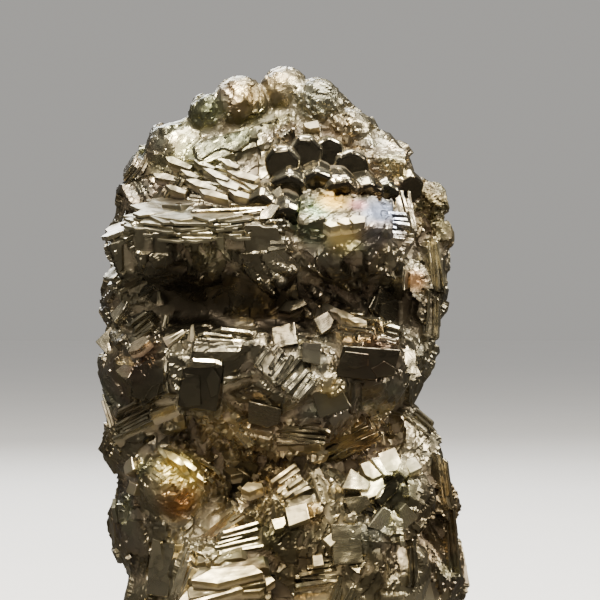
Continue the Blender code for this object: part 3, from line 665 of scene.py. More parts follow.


# What the photograph shows at each place: x, z, radius, colour, how much of it, grit, tone. Some rows paint
# shade, a highlight and reflections into the colour and tone
regions = [
    (0.0, 20.0, 17.0, (1.08, 1.00, 0.80), 0.75, 0.35, 0.30),
    (-1.0, 21.0, 7.0, (1.08, 0.99, 0.68), 0.60, 0.35, -0.20),
    (11.0, 20.5, 5.0, (1.00, 0.92, 0.74), 0.50, 0.35, -0.10),
    (15.8, 52.0, 5.0, (0.92, 0.88, 0.82), 0.85, 0.28, -0.60),
    (-4.6, 73.4, 3.8, (1.10, 0.92, 0.60), 0.65, 0.5, 0.25),
    (-8.4, 72.6, 2.6, (0.60, 0.74, 0.56), 0.75, 0.65, -0.05),
    (-0.4, 75.6, 3.2, (1.14, 0.98, 0.72), 0.75, 0.1, 0.25),
    (3.4, 73.8, 3.4, (0.82, 0.94, 1.02), 0.75, 0.5, 0.10),
    (6.2, 70.2, 3.2, (0.85, 0.66, 0.46), 0.60, 0.5, 0.00),
    (-1.8, 71.4, 3.0, (0.74, 0.86, 0.70), 0.90, 0.0, -0.10),
    (-5.2, 69.5, 3.2, (0.72, 0.86, 0.70), 0.90, 0.0, -0.10),
    (-8.4, 67.6, 3.0, (0.84, 0.96, 0.80), 0.90, 0.0, 0.15),
    (-10.6, 68.4, 1.8, (0.70, 1.15, 1.20), 0.80, 0.2, 0.35),
    (-12.4, 69.2, 5.0, (0.92, 1.00, 0.84), 0.80, 0.03, 0.25),
    (-13.8, 63.8, 2.0, (0.86, 0.78, 1.15), 0.80, 0.2, 0.10),
    (3.4, 60.2, 2.8, (0.52, 1.10, 0.78), 1.0, 0.0, 0.08),
    (11.0, 60.8, 3.4, (0.50, 0.70, 1.60), 1.0, 0.0, 0.22),
    (8.2, 62.0, 1.3, (1.25, 0.68, 1.10), 0.85, 0.0, 0.12),
    (6.6, 58.2, 2.4, (1.25, 1.10, 0.50), 0.95, 0.0, 0.65),
    (5.4, 62.0, 2.4, (1.45, 1.02, 0.20), 1.0, 0.0, 0.12),
    (12.2, 67.2, 3.0, (1.00, 1.04, 0.94), 0.85, 0.05, 0.40),
    (16.8, 61.0, 4.4, (0.80, 0.78, 0.46), 0.60, 0.9, 0.00),
    # Painted shade: the band under the brow and the ledge, where shadow falls, gets a much lower tone
    (-9.8, 52.6, 8.0, (0.86, 0.80, 0.70), 0.80, 0.0, -0.60),
    (-1.0, 51.0, 5.4, (0.84, 0.78, 0.66), 0.80, 0.05, -0.60),
    (8.0, 53.4, 5.4, (0.84, 0.78, 0.66), 0.70, 0.6, -0.50),
    # Painted highlight: an orange glint; below it, a painted reflection of skin in red
    (15.0, 53.4, 1.6, (1.15, 0.58, 0.28), 0.70, 0.1, 0.10),
    (10.4, 44.6, 3.0, (0.80, 0.42, 0.32), 0.60, 0.1, -0.10),
    (5.2, 40.8, 2.1, (1.30, 1.05, 0.50), 0.85, 0.8, 0.40),
    (-8.8, 57.4, 4.2, (0.88, 0.88, 0.74), 0.60, 0.75, 0.15),
    # Painted shade: two holes painted nearly black
    (-11.5, 34.6, 1.3, (0.40, 0.36, 0.30), 0.90, 0.9, -0.90),
    (-6.9, 28.8, 1.3, (0.40, 0.36, 0.30), 0.90, 0.9, -0.90),
    # Painted reflection: reddish flats that mirror skin
    (-16.1, 44.3, 2.8, (0.95, 0.56, 0.40), 0.60, 0.2, 0.00),
    (-5.2, 35.0, 9.0, (1.02, 0.88, 0.62), 0.85, 1.0, 0.50),
    (9.0, 35.6, 6.0, (1.02, 0.86, 0.62), 0.75, 1.0, 0.40),
    (-12.2, 31.4, 3.8, (1.25, 1.12, 0.46), 0.95, 0.6, 1.05),
    (-12.4, 28.0, 2.6, (1.20, 0.62, 0.30), 0.85, 0.6, 0.10),
    (-15.8, 31.4, 2.0, (0.62, 0.74, 0.46), 0.80, 0.7, -0.15),
    (-2.0, 31.0, 5.4, (0.95, 0.80, 0.56), 0.80, 1.0, 0.20),
    (9.6, 24.4, 2.8, (0.80, 0.98, 1.06), 0.85, 0.05, -0.10),
    (3.1, 26.6, 1.8, (1.15, 0.85, 0.48), 0.70, 0.5, 0.15),
    # Painted shade: dark tone between the rosette's tiles, whose own tones are raised to make up for it
    (12.0, 30.0, 3.6, (1.00, 1.10, 0.88), 0.75, 0.2, -0.45),
    (17.8, 25.6, 8.0, (0.88, 0.70, 0.46), 0.65, 0.4, -0.35),
]
regionPlaces = [(frontFrame(x, z).translation, *rest) for x, z, *rest in regions]
plainGrit = 0.28
regionFade = 1.25  # how far a region reaches past its radius


# Colour, grit and tone of the regions at any points of the surface; the colour and tone hold painted shade, a
# painted highlight and painted reflections too
def paintedAt(points):
    tint = np.ones((len(points), 3))
    grit, tone = np.full(len(points), plainGrit), np.zeros(len(points))
    for place, radius, colour, amount, regionGrit, regionToneAndShade in regionPlaces:
        near = np.clip(regionFade - np.linalg.norm(points - np.array(place), axis=1) / radius, 0.0, 1.0)
        near = near * near * (3.0 - 2.0 * near)
        share = (near * amount)[:, None]
        tint = tint * (1.0 - share) + np.array(colour) * share
        grit = grit * (1.0 - near) + regionGrit * near
        tone = tone * (1.0 - near) + regionToneAndShade * near
    return tint, grit, tone


# Crystals that cover the sides, the back and the rest of the front, drawn in the CAD's order
cover = {
    # lump, directions tried, the lowest and the highest place that it serves
    "tried": [(upperBall, 112, 44.0, 80.0), (waist, 52, 31.0, 44.0), (lowerBall, 92, 2.5, 31.0)],
    "clearOfFront": 3.2,
    "lengths": (5.0, 8.4),
    "height": 1.2,
    "lean": 0.45,
    "proud": 1.2,
    "swirl": (0.16, 0.11, 0.13),
    "slabs": 0.55,  # the share of each kind
    "stacks": 0.30,
    "slabDepths": (0.5, 0.8),
    "stackBlades": 3,
    "stackWidths": (1.0, 1.5),
    "stackRises": (0.4, 0.6),
    "stackSlant": 0.5,
    "plateRoot": 1.3,
    "smoothBelow": 0.09,
    "blockShare": 0.45,  # of the slabs, the rest are stacks of steps
    "stepWidth": 1.1,
    "stepRises": (0.45, 0.55),
    "layers": 4,
    "drawIn": 0.14,
    # x, z, radius of the places left bare of them
    "bare": [(-1.0, 74.0, 6.6), (-10.0, 54.5, 5.5), (-3.0, 54.0, 5.0), (-10.0, 50.0, 4.5),
             (-2.0, 50.0, 5.0), (6.0, 50.5, 5.0), (10.0, 54.0, 4.0), (11.0, 40.0, 3.0)],
}


def swirlAt(place):
    bend = cover["swirl"][0] * place.z + cover["swirl"][1] * place.x
    return Vector((math.cos(bend), math.sin(cover["swirl"][2] * place.y) / 2.0, math.sin(bend)))


# Where the photograph is smooth, a covering crystal is only a core in the body.
def smoothAt(place):
    _, grit, _ = paintedAt(np.array([place]))
    return grit[0] < cover["smoothBelow"]


def coverPlaces():
    taken = [(place, cover["clearOfFront"]) for place in frontPlaces]
    taken += [(frontFrame(x, z).translation, radius) for x, z, radius in cover["bare"]]
    for lump, count, lowest, highest in cover["tried"]:
        middle = Vector(lump[:3])
        for direction in evenDirections(count):
            place = massTree.ray_cast(middle + direction * specimen["farOut"], -direction)[0]
            length, kind = rng.uniform(*cover["lengths"]), rng.random()
            lean = Vector([rng.uniform(-cover["lean"], cover["lean"]) for _ in range(3)])
            if not lowest < place.z < highest:
                continue
            if min((place - other).length - clear for other, clear in taken) < 0.0:
                continue
            yield crystalFrame(place, direction + lean, swirlAt(place)), length, kind


# The CAD's slabs become terraced blocks, its stacks leafed blades, its blunt plates stepped piles.
def growCover():
    height = cover["height"]
    least, more = cover["stepRises"]
    for place, length, kind in coverPlaces():
        tone, polish = vary.uniform(0.15, 0.95), vary.uniform(0.2, 0.9)
        if smoothAt(place.translation):
            polish = None
        if kind < cover["slabs"]:
            depth = length * rng.uniform(*cover["slabDepths"])
            place = settled(place, boxCorners(length, depth, height), cover["proud"])
            if vary.random() < cover["blockShare"]:
                growBlock("coverCrystals", place, length, depth, height, tone, polish, terraced=True)
            else:
                steps = max(2, round(depth / cover["stepWidth"]))
                blades = [(depth / steps, height * (least + more * i / (steps - 1))) for i in range(steps)]
                growStack("coverCrystals", place, length, 0.0, blades, tone, polish)
        elif kind < cover["slabs"] + cover["stacks"]:
            rises = [rng.uniform(*cover["stackRises"]) * (i + 0.5) for i in range(cover["stackBlades"])]
            blades = [(rng.uniform(*cover["stackWidths"]), rise) for rise in rises]
            slant = rng.uniform(-cover["stackSlant"], cover["stackSlant"])
            place = settled(place, stackCorners(length, slant, blades), cover["proud"])
            growStack("coverCrystals", place, length, slant, blades, tone, polish)
        else:
            radiusX, radiusY, root = length * 0.5, length * 0.4, cover["plateRoot"]
            corners = ringCorners(radiusX, radiusY, height, 5)
            corners += ringCorners(radiusX * root, radiusY * root, -specimen["rootDepth"], 5)
            place = settled(place, corners, cover["proud"])
            addCore(place, radiusX * 1.5, radiusY * 1.5, height * 0.5, clear=polish is not None)
            if polish is None:
                continue
            shape = bmesh.new()
            for layer in range(cover["layers"]):
                smaller = 1.0 - cover["drawIn"] * layer
                outline = plateOutline(5, radiusX * smaller, radiusY * smaller, uneven=0.34)
                x, y = vary.uniform(-0.3, 0.3), vary.uniform(-0.3, 0.3)
                addPlate(shape, outline, height * 0.3, shifted(x, y, height * (0.3 * layer - 0.2)))
            keepCrystal("coverCrystals", shape, place, tone, polish)


# Small crystals that the photograph shows between the larger ones: looks alone
details = {
    "stacks": [
        (-6.6, 46.2, 2, 30, -4, 7.0, 0.5, [(0.4, 1.6), (0.4, 2.0), (0.4, 2.4)], 1.0, 0.6),
        (-9.2, 43.4, -6, 30, -3, 4.2, 0.0, [(0.5, 1.8)], 1.0, 0.6),
        (-7.2, 60.5, -4, 34, 3, 10.6, 0.1, [(0.35, 0.9), (0.3, 1.1), (0.35, 0.8), (0.3, 1.2)], 0.7, 0.6),
        (-12.4, 63.4, -20, 44, -30, 3.4, 0.5, [(0.8, 0.5), (0.8, 1.0), (0.8, 1.5)], 0.85, 0.5),
        (-7.0, 65.4, -6, 44, -32, 3.8, 0.5, [(0.8, 0.5), (0.8, 1.0), (0.8, 1.5)], 0.85, 0.5),
        (-9.2, 17.6, -14, 48, 14, 6.0, 0.3, [(1.7, 0.9), (1.7, 1.3)], 0.6, 0.3),
        (-8.6, 37.3, -12, 20, -8, 2.6, 0.2, [(0.45, 1.2)], 1.0, 0.6),
        (-0.9, 57.2, 10, 20, 12, 2.6, 0.2, [(0.5, 0.8), (0.5, 1.2)], 0.6, 0.6),
        (9.2, 27.2, 6, 10, -20, 3.4, 0.2, [(0.45, 2.2), (0.45, 2.6), (0.45, 2.3), (0.45, 2.6)], 0.25, 0.95),
        (-12.6, 32.4, -20, 44, -32, 4.6, 0.3, [(0.5, 1.7), (0.45, 2.1), (0.5, 1.9), (0.45, 2.2)], 0.75, 0.5),
        (-14.4, 30.6, -34, 30, -40, 3.6, 0.3, [(0.5, 1.8), (0.5, 2.1)], 0.9, 0.5),
        (-10.6, 30.6, -4, 34, -30, 3.4, 0.3, [(0.5, 1.7), (0.5, 2.0), (0.5, 2.2)], 1.0, 0.5),
    ],
    "blocks": [
        (-0.6, 25.1, -4, 30, 20, 1.5, 1.3, 1.0, 0.7, 0.1), (5.2, 23.2, 6, 30, 50, 1.4, 1.3, 1.0, 0.7, 0.1),
        (3.7, 21.0, 4, 20, 10, 1.3, 1.2, 1.0, 0.9, 0.2), (-12.8, 28.9, -30, 30, 10, 1.5, 1.0, 1.0, 1.0, 0.8),
        (-11.4, 28.4, -26, 24, 36, 1.3, 0.9, 0.9, 1.0, 0.8),
        (18.2, 27.6, 60, 20, 70, 1.3, 0.8, 0.8, 1.0, 0.8),
        (19.0, 24.7, 62, 10, 80, 1.5, 0.7, 0.8, 1.0, 0.8),
        (-18.4, 49.6, -50, 30, 50, 2.6, 1.6, 1.0, 0.9, 0.5),
        (9.2, 67.0, 8, 30, 10, 1.4, 1.0, 1.0, 0.6, 0.3), (3.0, 70.6, 2, 40, 20, 1.6, 1.2, 1.0, 0.4, 0.1),
        (6.4, 48.9, 4, 60, -30, 1.7, 1.0, 1.2, 1.0, 0.8), (8.2, 48.6, 0, 60, -25, 1.5, 0.8, 1.4, 1.0, 0.8),
        (9.9, 30.9, 2, 32, 24, 2.1, 2.1, 1.6, 0.8, 0.2), (11.9, 32.0, 4, 32, 18, 2.3, 2.6, 1.6, 0.9, 0.2),
        (14.4, 31.5, 10, 32, 30, 1.6, 1.8, 1.6, 0.8, 0.2), (10.0, 29.0, -4, 28, 20, 2.8, 2.0, 1.1, 0.9, 0.2),
    ],
    # half length, half width, thickness, tone, polish
    "plates": [
        (-6.4, 18.6, -8, 42, 9, 4.8, 1.3, 0.4, 0.75, 0.2),
        (-8.4, 16.6, -12, 40, 14, 3.6, 1.1, 0.4, 0.75, 0.2),
        (-3.4, 17.4, -2, 44, 30, 2.2, 1.0, 0.4, 0.7, 0.2), (5.5, 49.0, 0, 40, -38, 1.5, 0.6, 0.4, 1.2, 0.4),
        (6.9, 48.3, 0, 42, -36, 1.6, 0.6, 0.4, 1.2, 0.4), (8.4, 47.7, 0, 40, -30, 1.5, 0.5, 0.4, 1.1, 0.4),
        (-3.6, 28.4, -4, 50, 10, 1.3, 0.9, 0.5, 0.7, 0.2), (-5.8, 30.2, -8, 52, -20, 1.2, 0.8, 0.5, 0.6, 0.2),
        (-16.0, 45.2, -34, 34, 20, 1.4, 0.8, 0.4, 0.9, 0.5),
        (-17.4, 42.2, -40, 30, -30, 1.5, 0.8, 0.4, 0.8, 0.5),
        (0.8, 49.8, 4, 30, 24, 1.4, 0.7, 0.4, 0.5, 0.6), (-2.0, 60.4, 6, 30, 50, 1.4, 0.6, 0.4, 0.9, 0.5),
        (-1.2, 62.6, 4, 26, 60, 1.2, 0.6, 0.4, 0.7, 0.6),
        (-13.4, 32.4, -24, 40, -52, 1.6, 0.4, 0.9, 1.0, 0.4),
        (-12.2, 31.8, -16, 40, -50, 2.0, 0.45, 1.0, 1.0, 0.4),
        (-11.0, 31.2, -8, 40, -48, 1.9, 0.4, 1.0, 1.0, 0.4),
        (-10.2, 30.0, 0, 36, -44, 1.4, 0.35, 0.9, 0.9, 0.4),
        (2.6, 59.5, 0, 48, 12, 1.0, 0.7, 0.6, 0.8, 0.2), (4.0, 59.0, 4, 50, -6, 1.1, 0.7, 0.6, 0.9, 0.2),
        (5.5, 58.7, 2, 46, 8, 1.0, 0.8, 0.6, 0.8, 0.2), (6.9, 58.7, 6, 50, -10, 1.1, 0.7, 0.6, 0.9, 0.2),
        (8.3, 59.0, 4, 46, 14, 1.0, 0.7, 0.6, 0.7, 0.2), (3.3, 58.2, 2, 40, -4, 0.9, 0.6, 0.6, 0.6, 0.2),
    ],
    # pale plates that overlap like shingles over the stairs at the top left
    "shingles": [
        (-12.0, 65.9), (-10.8, 64.6), (-9.4, 63.4), (-7.9, 62.2), (-9.0, 65.7), (-7.6, 64.5), (-6.2, 63.4),
        (-4.8, 62.2), (-6.0, 65.7), (-4.5, 64.4), (-3.2, 63.0), (-13.4, 64.2), (-12.2, 62.8),
    ],
    "shingle": (-8, 40, -34, 1.7, 0.46, 0.35, 0.64, 0.35),
    "lift": 1.3,  # of the plates and shingles over the mass
    "sizes": (0.75, 1.12),
    # second faces on the dark blocks: which block, aside, along, half length, half width, turn, tilt
    "terraces": [
        (4, -1.5, 0.4, 1.7, 1.0, 8, -5), (4, 1.8, -0.5, 1.2, 0.9, -6, 6),
        (5, -0.9, -0.35, 1.3, 1.9, 4, -4), (5, 1.45, 0.8, 0.7, 1.6, -5, 7),
    ],
    # small pale cones: x, z, the way they lean, length, radius
    "cones": [
        (-13.8, 48.4, 14, 2.0, 0.5), (-10.7, 47.4, 4, 1.8, 0.55), (-14.4, 51.4, -8, 1.5, 0.4),
        (-12.6, 46.9, 58, 2.4, 0.75),
    ],
}


def growDetails():
    for place, length, slant, blades, tone, polish in framed(details["stacks"]):
        place = settled(place, stackCorners(length, slant, blades), frontProud)
        growStack("frontCrystals", place, length, slant, blades, tone, polish)
    for place, width, depth, height, tone, polish in framed(details["blocks"]):
        place = settled(place, boxCorners(width, depth, height), frontProud)
        growBlock("frontCrystals", place, width, depth, height, tone, polish)
    plates = details["plates"] + [(x, z, *details["shingle"]) for x, z in details["shingles"]]
    for x, z, yaw, pitch, turn, halfX, halfY, thickness, tone, polish in plates:
        size = vary.uniform(*details["sizes"])
        halfX, halfY = halfX * size, halfY * size
        place = frontFrame(x, z, yaw, pitch, turn + vary.uniform(-7.0, 7.0)) @ shifted(z=details["lift"])
        place = settled(place, boxCorners(halfX * 2.0, halfY * 2.0, thickness), frontProud + 0.5)
        shape = bmesh.new()
        outline = plateOutline(5, halfX, halfY, uneven=0.26)
        addPlate(shape, outline, thickness + 0.9, shifted(z=-0.9), bevel=0.05)
        keepCrystal("frontCrystals", shape, place, tone * vary.uniform(0.75, 1.0), polish)
    for i, aside, along, halfX, halfY, turn, tilt in details["terraces"]:
        place, width, depth, height, tone, polish = next(framed(blocks["rows"][i:]))
        place = settled(place, boxCorners(width, depth, height), frontProud)
        at = shifted(aside, along, height - 0.5) @ rotated(turn, "Z") @ rotated(tilt, "X")
        shape = bmesh.new()
        addPlate(shape, plateOutline(5, halfX, halfY, uneven=0.2), 0.8, at)
        keepCrystal("frontCrystals", shape, place, tone + 0.08, polish)
    for x, z, lean, length, radius in details["cones"]:
        place = shifted(*(frontFrame(x, z).translation + Vector((0.0, -0.5, 0.0)))) @ rotated(lean, "Y")
        shape = bmesh.new()
        bmesh.ops.create_cone(
            shape, cap_ends=True, segments=7, radius1=radius, radius2=radius * 0.35, depth=length)
        for vert in shape.verts:
            vert.co += Vector([vary.uniform(-0.08, 0.08) for _ in range(3)])
        keepCrystal("frontCrystals", shape, place, 0.8, 0.2)


growFront()
growCover()
growDetails()
frontCrystals = joinCrystals("frontCrystals")
coverCrystals = joinCrystals("coverCrystals")
print("front and covering crystals", len(frontCrystals.data.polygons), len(coverCrystals.data.polygons))


# The body: the mass with its knobs, remeshed finely and broken into flat crystal faces
body = {
    "voxel": 0.24,
    "smooth": 5,
    "levels": (27.2, 50.5),  # where the body is split, so that each piece stays under the triangle limit
    "druseSplit": 36.0,
    "clearance": -0.12,
    "cleared": (0.55, -1.5, 1.0),  # how far round a core: part of its sides, below and above, mm
    "roundKnobs": 0.75,  # how much of the large faces the knobs lose
    # spacing of faces, how many times longer than wide, tilt, step between faces, deepest shift
    # and terraces: the share of faces that have them, their widths and their height
    "large": {"spacing": 3.6, "stretch": (1.0, 2.8), "tilt": 0.22, "step": 0.3, "deepest": 0.8,
              "terraced": 0.45, "terraceWidths": (0.7, 1.3), "terraceHeight": 0.42},
    "small": {"spacing": 1.2, "stretch": (1.0, 3.0), "tilt": 0.26, "step": 0.12, "deepest": 0.26,
              "terraced": 0.0, "terraceWidths": (0.5, 0.6), "terraceHeight": 0.0},
    "neighbours": 7,  # faces that may own a point
    "wander": 0.3,  # of the faces from the swirl
    # how strongly the surface is broken: least, and more with grit
    "largeBreaks": (0.1, 1.8),
    "smallBreaks": (0.04, 1.05),
    "shades": (0.72, 0.28),  # how much of the tone the large and the small faces give
    "tones": (0.1, 0.55, 0.2),  # least, more with the shade, more with the region
    "polishes": (0.75, 0.6, 0.3),  # most, less with grit, spread with the shade
    "druseFrom": 0.72,  # the grit where the druse starts
    "hollowRounds": 40,
    "hollowDepth": 0.5,
}


def unit(vectors):
    return vectors / np.maximum(np.linalg.norm(vectors, axis=-1, keepdims=True), 1e-9)


# Shifts points onto flat faces: each face owns the points nearest to its seed, measured so that
# faces are longer along the swirl. Gives the shift, the face of each point and its own grain.
def flatFaces(points, normals, level, strength, generator):
    area = len(points) * body["voxel"] ** 2
    chosen = generator.choice(len(points), int(area / level["spacing"] ** 2), replace=False)
    seeds = points[chosen]
    outward = unit(normals[chosen] + generator.normal(0.0, level["tilt"], (len(chosen), 3)))
    along = np.array([swirlAt(Vector(seed)) for seed in seeds])
    along = along + generator.normal(0.0, body["wander"], seeds.shape)
    along = unit(along - outward * np.sum(along * outward, axis=1, keepdims=True))
    stretch = generator.uniform(*level["stretch"], len(chosen))
    step = generator.uniform(-level["step"], level["step"], len(chosen))
    tree = KDTree(len(seeds))
    for i, seed in enumerate(seeds):
        tree.insert(seed, i)
    tree.balance()
    near = np.array([[found[1] for found in tree.find_n(point, body["neighbours"])] for point in points])
    away = points[:, None, :] - seeds[near]
    run = np.sum(away * along[near], axis=2)
    wide = np.sqrt(np.maximum(np.sum(away * away, axis=2) - run * run, 0.0))
    measure = np.hypot(run / stretch[near], wide * np.sqrt(stretch[near]))
    face = near[np.arange(len(points)), np.argmin(measure, axis=1)]
    away = points - seeds[face]
    facing = np.maximum(np.sum(normals * outward[face], axis=1), 0.5)
    shift = -np.sum(away * outward[face], axis=1) / facing + step[face]
    across = np.cross(outward, along)
    width = generator.uniform(*level["terraceWidths"], len(chosen))[face]
    terraced = (generator.uniform(0.0, 1.0, len(chosen)) < level["terraced"])[face]
    climb = np.sum(away * across[face], axis=1) / width
    shift += terraced * level["terraceHeight"] * (climb - np.floor(climb) - 0.5)
    shift = np.clip(shift, -level["deepest"], level["deepest"]) * strength
    grain = np.column_stack((
        np.sum(away * along[face], axis=1), np.sum(away * across[face], axis=1), np.zeros(len(points))))
    far = specimen["grainShift"]
    return shift, face, grain + generator.uniform(-far, far, (len(chosen), 3))[face]


# Points pulled towards the mean of their neighbours, many times over
def relaxed(mesh, points, rounds):
    edges = np.empty(2 * len(mesh.edges), int)
    mesh.edges.foreach_get("vertices", edges)
    start, end = edges.reshape(-1, 2).T
    start, end = np.concatenate((start, end)), np.concatenate((end, start))
    count = np.maximum(np.bincount(start, minlength=len(points)), 1)[:, None]
    for _ in range(rounds):
        near = np.column_stack([np.bincount(start, points[end, axis], len(points)) for axis in range(3)])
        points = near / count
    return points


def nearKnobs(points):
    most = np.zeros(len(points))
    for x, z, radius in knobs["rows"]:
        away = np.linalg.norm(points - np.array(frontFrame(x, z).translation), axis=1)
        most = np.maximum(most, np.clip(1.9 - away / radius, 0.0, 1.0))
    return most


# Under a crystal the body is pushed in a little, so that the crystal isn't buried.
def keptClear(points, shift):
    padded = np.column_stack((points, np.ones(len(points))))
    part, below, above = body["cleared"]
    for place, length, width, height, clear in cores:
        if not clear:
            continue
        x, y, z, _ = np.array(place.inverted()) @ padded.T
        inside = (np.abs(x) < length * part) & (np.abs(y) < width * part) & (z > below) & (z < height + above)
        shift[inside] = np.minimum(shift[inside], body["clearance"])
    return shift


def brokenBody():
    shape = bmesh.new()
    shape.from_mesh(massSource.data)
    for knob in knobs["rows"]:
        bmesh.ops.create_icosphere(shape, subdivisions=3, radius=knob[2], matrix=knobFrame(*knob))
    root = specimen["rootDepth"]
    for place, length, width, height, _ in cores:
        sizes = Matrix.Diagonal((length, width, root + height, 1.0))
        bmesh.ops.create_cube(shape, size=1.0, matrix=place @ shifted(z=(height - root) / 2.0) @ sizes)
    made = voxelRemesh(objectFrom(shape, "body"), body["voxel"], body["smooth"])
    mesh = made.data
    generator = np.random.default_rng(specimen["seed"])
    points, normals = coordinates(mesh), coordinates(mesh, "normal")
    tint, grit, tone = paintedAt(points)
    least, more = body["largeBreaks"]
    strength = np.clip(least + more * grit, 0.0, 1.0) * (1.0 - body["roundKnobs"] * nearKnobs(points))
    large, largeFace, grain = flatFaces(points, normals, body["large"], strength, generator)
    least, more = body["smallBreaks"]
    small, smallFace, _ = flatFaces(points, normals, body["small"], least + more * grit, generator)
    moved = points + normals * keptClear(points, large + small)[:, None]
    mesh.vertices.foreach_set("co", moved.ravel())
    mesh.update()
    # Relief is how far a point sits below its relaxed neighbours; low relief draws the hollow oxide and
    # painted shade into creases and hollows
    sunk = np.sum((relaxed(mesh, moved, body["hollowRounds"]) - moved) * normals, axis=1)
    setAttribute(mesh, "relief", np.clip(0.55 - sunk / body["hollowDepth"], 0.0, 1.0))
    ofLarge, ofSmall = body["shades"]
    shade = ofLarge * generator.uniform(0.0, 1.0, largeFace.max() + 1)[largeFace]
    shade = shade + ofSmall * generator.uniform(0.0, 1.0, smallFace.max() + 1)[smallFace]
    least, ofShade, ofRegion = body["tones"]
    setAttribute(mesh, "tone", np.clip(least + ofShade * shade + ofRegion * tone, 0.0, 1.0))
    satin = np.clip(1.6 * (tint.max(axis=1) - 1.0), 0.0, 0.7)  # strong colours are satin
    most, ofGrit, spread = body["polishes"]
    setAttribute(mesh, "polish", np.clip(most - ofGrit * grit - satin + spread * (shade - 0.5), 0.0, 1.0))
    setAttribute(mesh, "grain", grain, "FLOAT_VECTOR")
    setAttribute(mesh, "grit", grit)
    rough = (grit - body["druseFrom"]) / (1.0 - body["druseFrom"])
    setAttribute(mesh, "density", 0.02 + np.clip(rough, 0.0, 1.0))
    return made


# Keeps what is above or below a level and closes the cut.
def cutLevel(mesh, height, keepAbove):
    shape = bmesh.new()
    shape.from_mesh(mesh)
    everything = [*shape.verts, *shape.edges, *shape.faces]
    bmesh.ops.bisect_plane(
        shape, geom=everything, dist=0.0001, plane_co=(0.0, 0.0, height), plane_no=(0.0, 0.0, 1.0),
        clear_inner=keepAbove, clear_outer=not keepAbove)
    rim = [edge for edge in shape.edges if edge.is_boundary]
    if rim:
        bmesh.ops.edgeloop_fill(shape, edges=rim)
    bmesh.ops.recalc_face_normals(shape, faces=shape.faces)
    shape.to_mesh(mesh)
    shape.free()


# A part of the body: each cut is a level, and whether what is above it stays
def partOf(whole, name, cuts):
    made = bpy.data.objects.new(name, whole.data.copy())
    scene.collection.objects.link(made)
    for height, keepAbove in cuts:
        cutLevel(made.data, height, keepAbove)
    return made


wholeBody = brokenBody()
cutLevel(wholeBody.data, 0.0, True)
low, high = body["levels"]
upperBody = partOf(wholeBody, "upperBody", [(high, True)])
middleBody = partOf(wholeBody, "middleBody", [(low, True), (high, False)])
lowerBody = partOf(wholeBody, "lowerBody", [(low, False)])


# Nodes of any tree: an input is given a value, or the socket that feeds it.
def feed(tree, node, inputs):
    for name, value in inputs.items():
        if isinstance(value, bpy.types.NodeSocket):
            tree.links.new(value, node.inputs[name])
        else:
            node.inputs[name].default_value = value
    return node


def nodeIn(tree, kind, inputs=None, **settings):
    node = tree.nodes.new(kind)
    for name, value in settings.items():
        setattr(node, name, value)
    return feed(tree, node, inputs or {})


def mathOf(tree, operation, *values, **settings):
    return nodeIn(tree, "ShaderNodeMath", dict(enumerate(values)), operation=operation, **settings).outputs[0]


def rangeOf(tree, value, fromMin=0.0, fromMax=1.0, toMin=0.0, toMax=1.0):
    ends = {"Value": value, "From Min": fromMin, "From Max": fromMax, "To Min": toMin, "To Max": toMax}
    return nodeIn(tree, "ShaderNodeMapRange", ends).outputs["Result"]


def noiseOf(tree, vector, scale, detail, roughness=0.5):
    values = {"Vector": vector, "Scale": scale, "Detail": detail, "Roughness": roughness}
    return nodeIn(tree, "ShaderNodeTexNoise", values).outputs["Fac"]


def mixOf(tree, amount, first, second, blend="MIX"):
    values = {0: amount, 6: first, 7: second}
    return nodeIn(tree, "ShaderNodeMix", values, data_type="RGBA", blend_type=blend).outputs[2]


def bumpOf(tree, height, strength, distance, **normal):
    values = {"Height": height, "Strength": strength, "Distance": distance, **normal}
    return nodeIn(tree, "ShaderNodeBump", values).outputs["Normal"]


def groupOf(tree, group, **inputs):
    return nodeIn(tree, "ShaderNodeGroup", inputs, node_tree=group).outputs


# Druse: small crystals scattered over the whole surface by Geometry Nodes
druse = {
    "perSquareMm": 0.75,
    "sizes": (0.25, 0.95),
    "smallShare": 2.4,  # the higher, the more of them are small
    "lean": 0.45,
    "sink": 0.35,
    # name, sides, half sizes, thickness, bevel
    "patterns": [
        ("druseBlock", 4, 0.62, 0.55, 0.9, 0.0), ("drusePlate", 5, 0.85, 0.5, 0.42, 0.0),
        ("druseBlade", 4, 1.1, 0.3, 0.7, 0.0), ("druseGrain", 5, 0.5, 0.5, 0.8, 0.16),
    ],
}
drusePatterns = bpy.data.collections.new("drusePatterns")
for name, sides, halfX, halfY, thickness, bevel in druse["patterns"]:
    shape = bmesh.new()
    addPlate(shape, plateOutline(sides, halfX, halfY), thickness, shifted(z=-druse["sink"]), bevel=bevel)
    pattern = objectFrom(shape, name)
    for label in ("tone", "polish"):
        setAttribute(pattern.data, label, np.zeros(len(pattern.data.vertices)))
    setAttribute(pattern.data, "grain", coordinates(pattern.data), "FLOAT_VECTOR")
    scene.collection.objects.unlink(pattern)
    drusePatterns.objects.link(pattern)


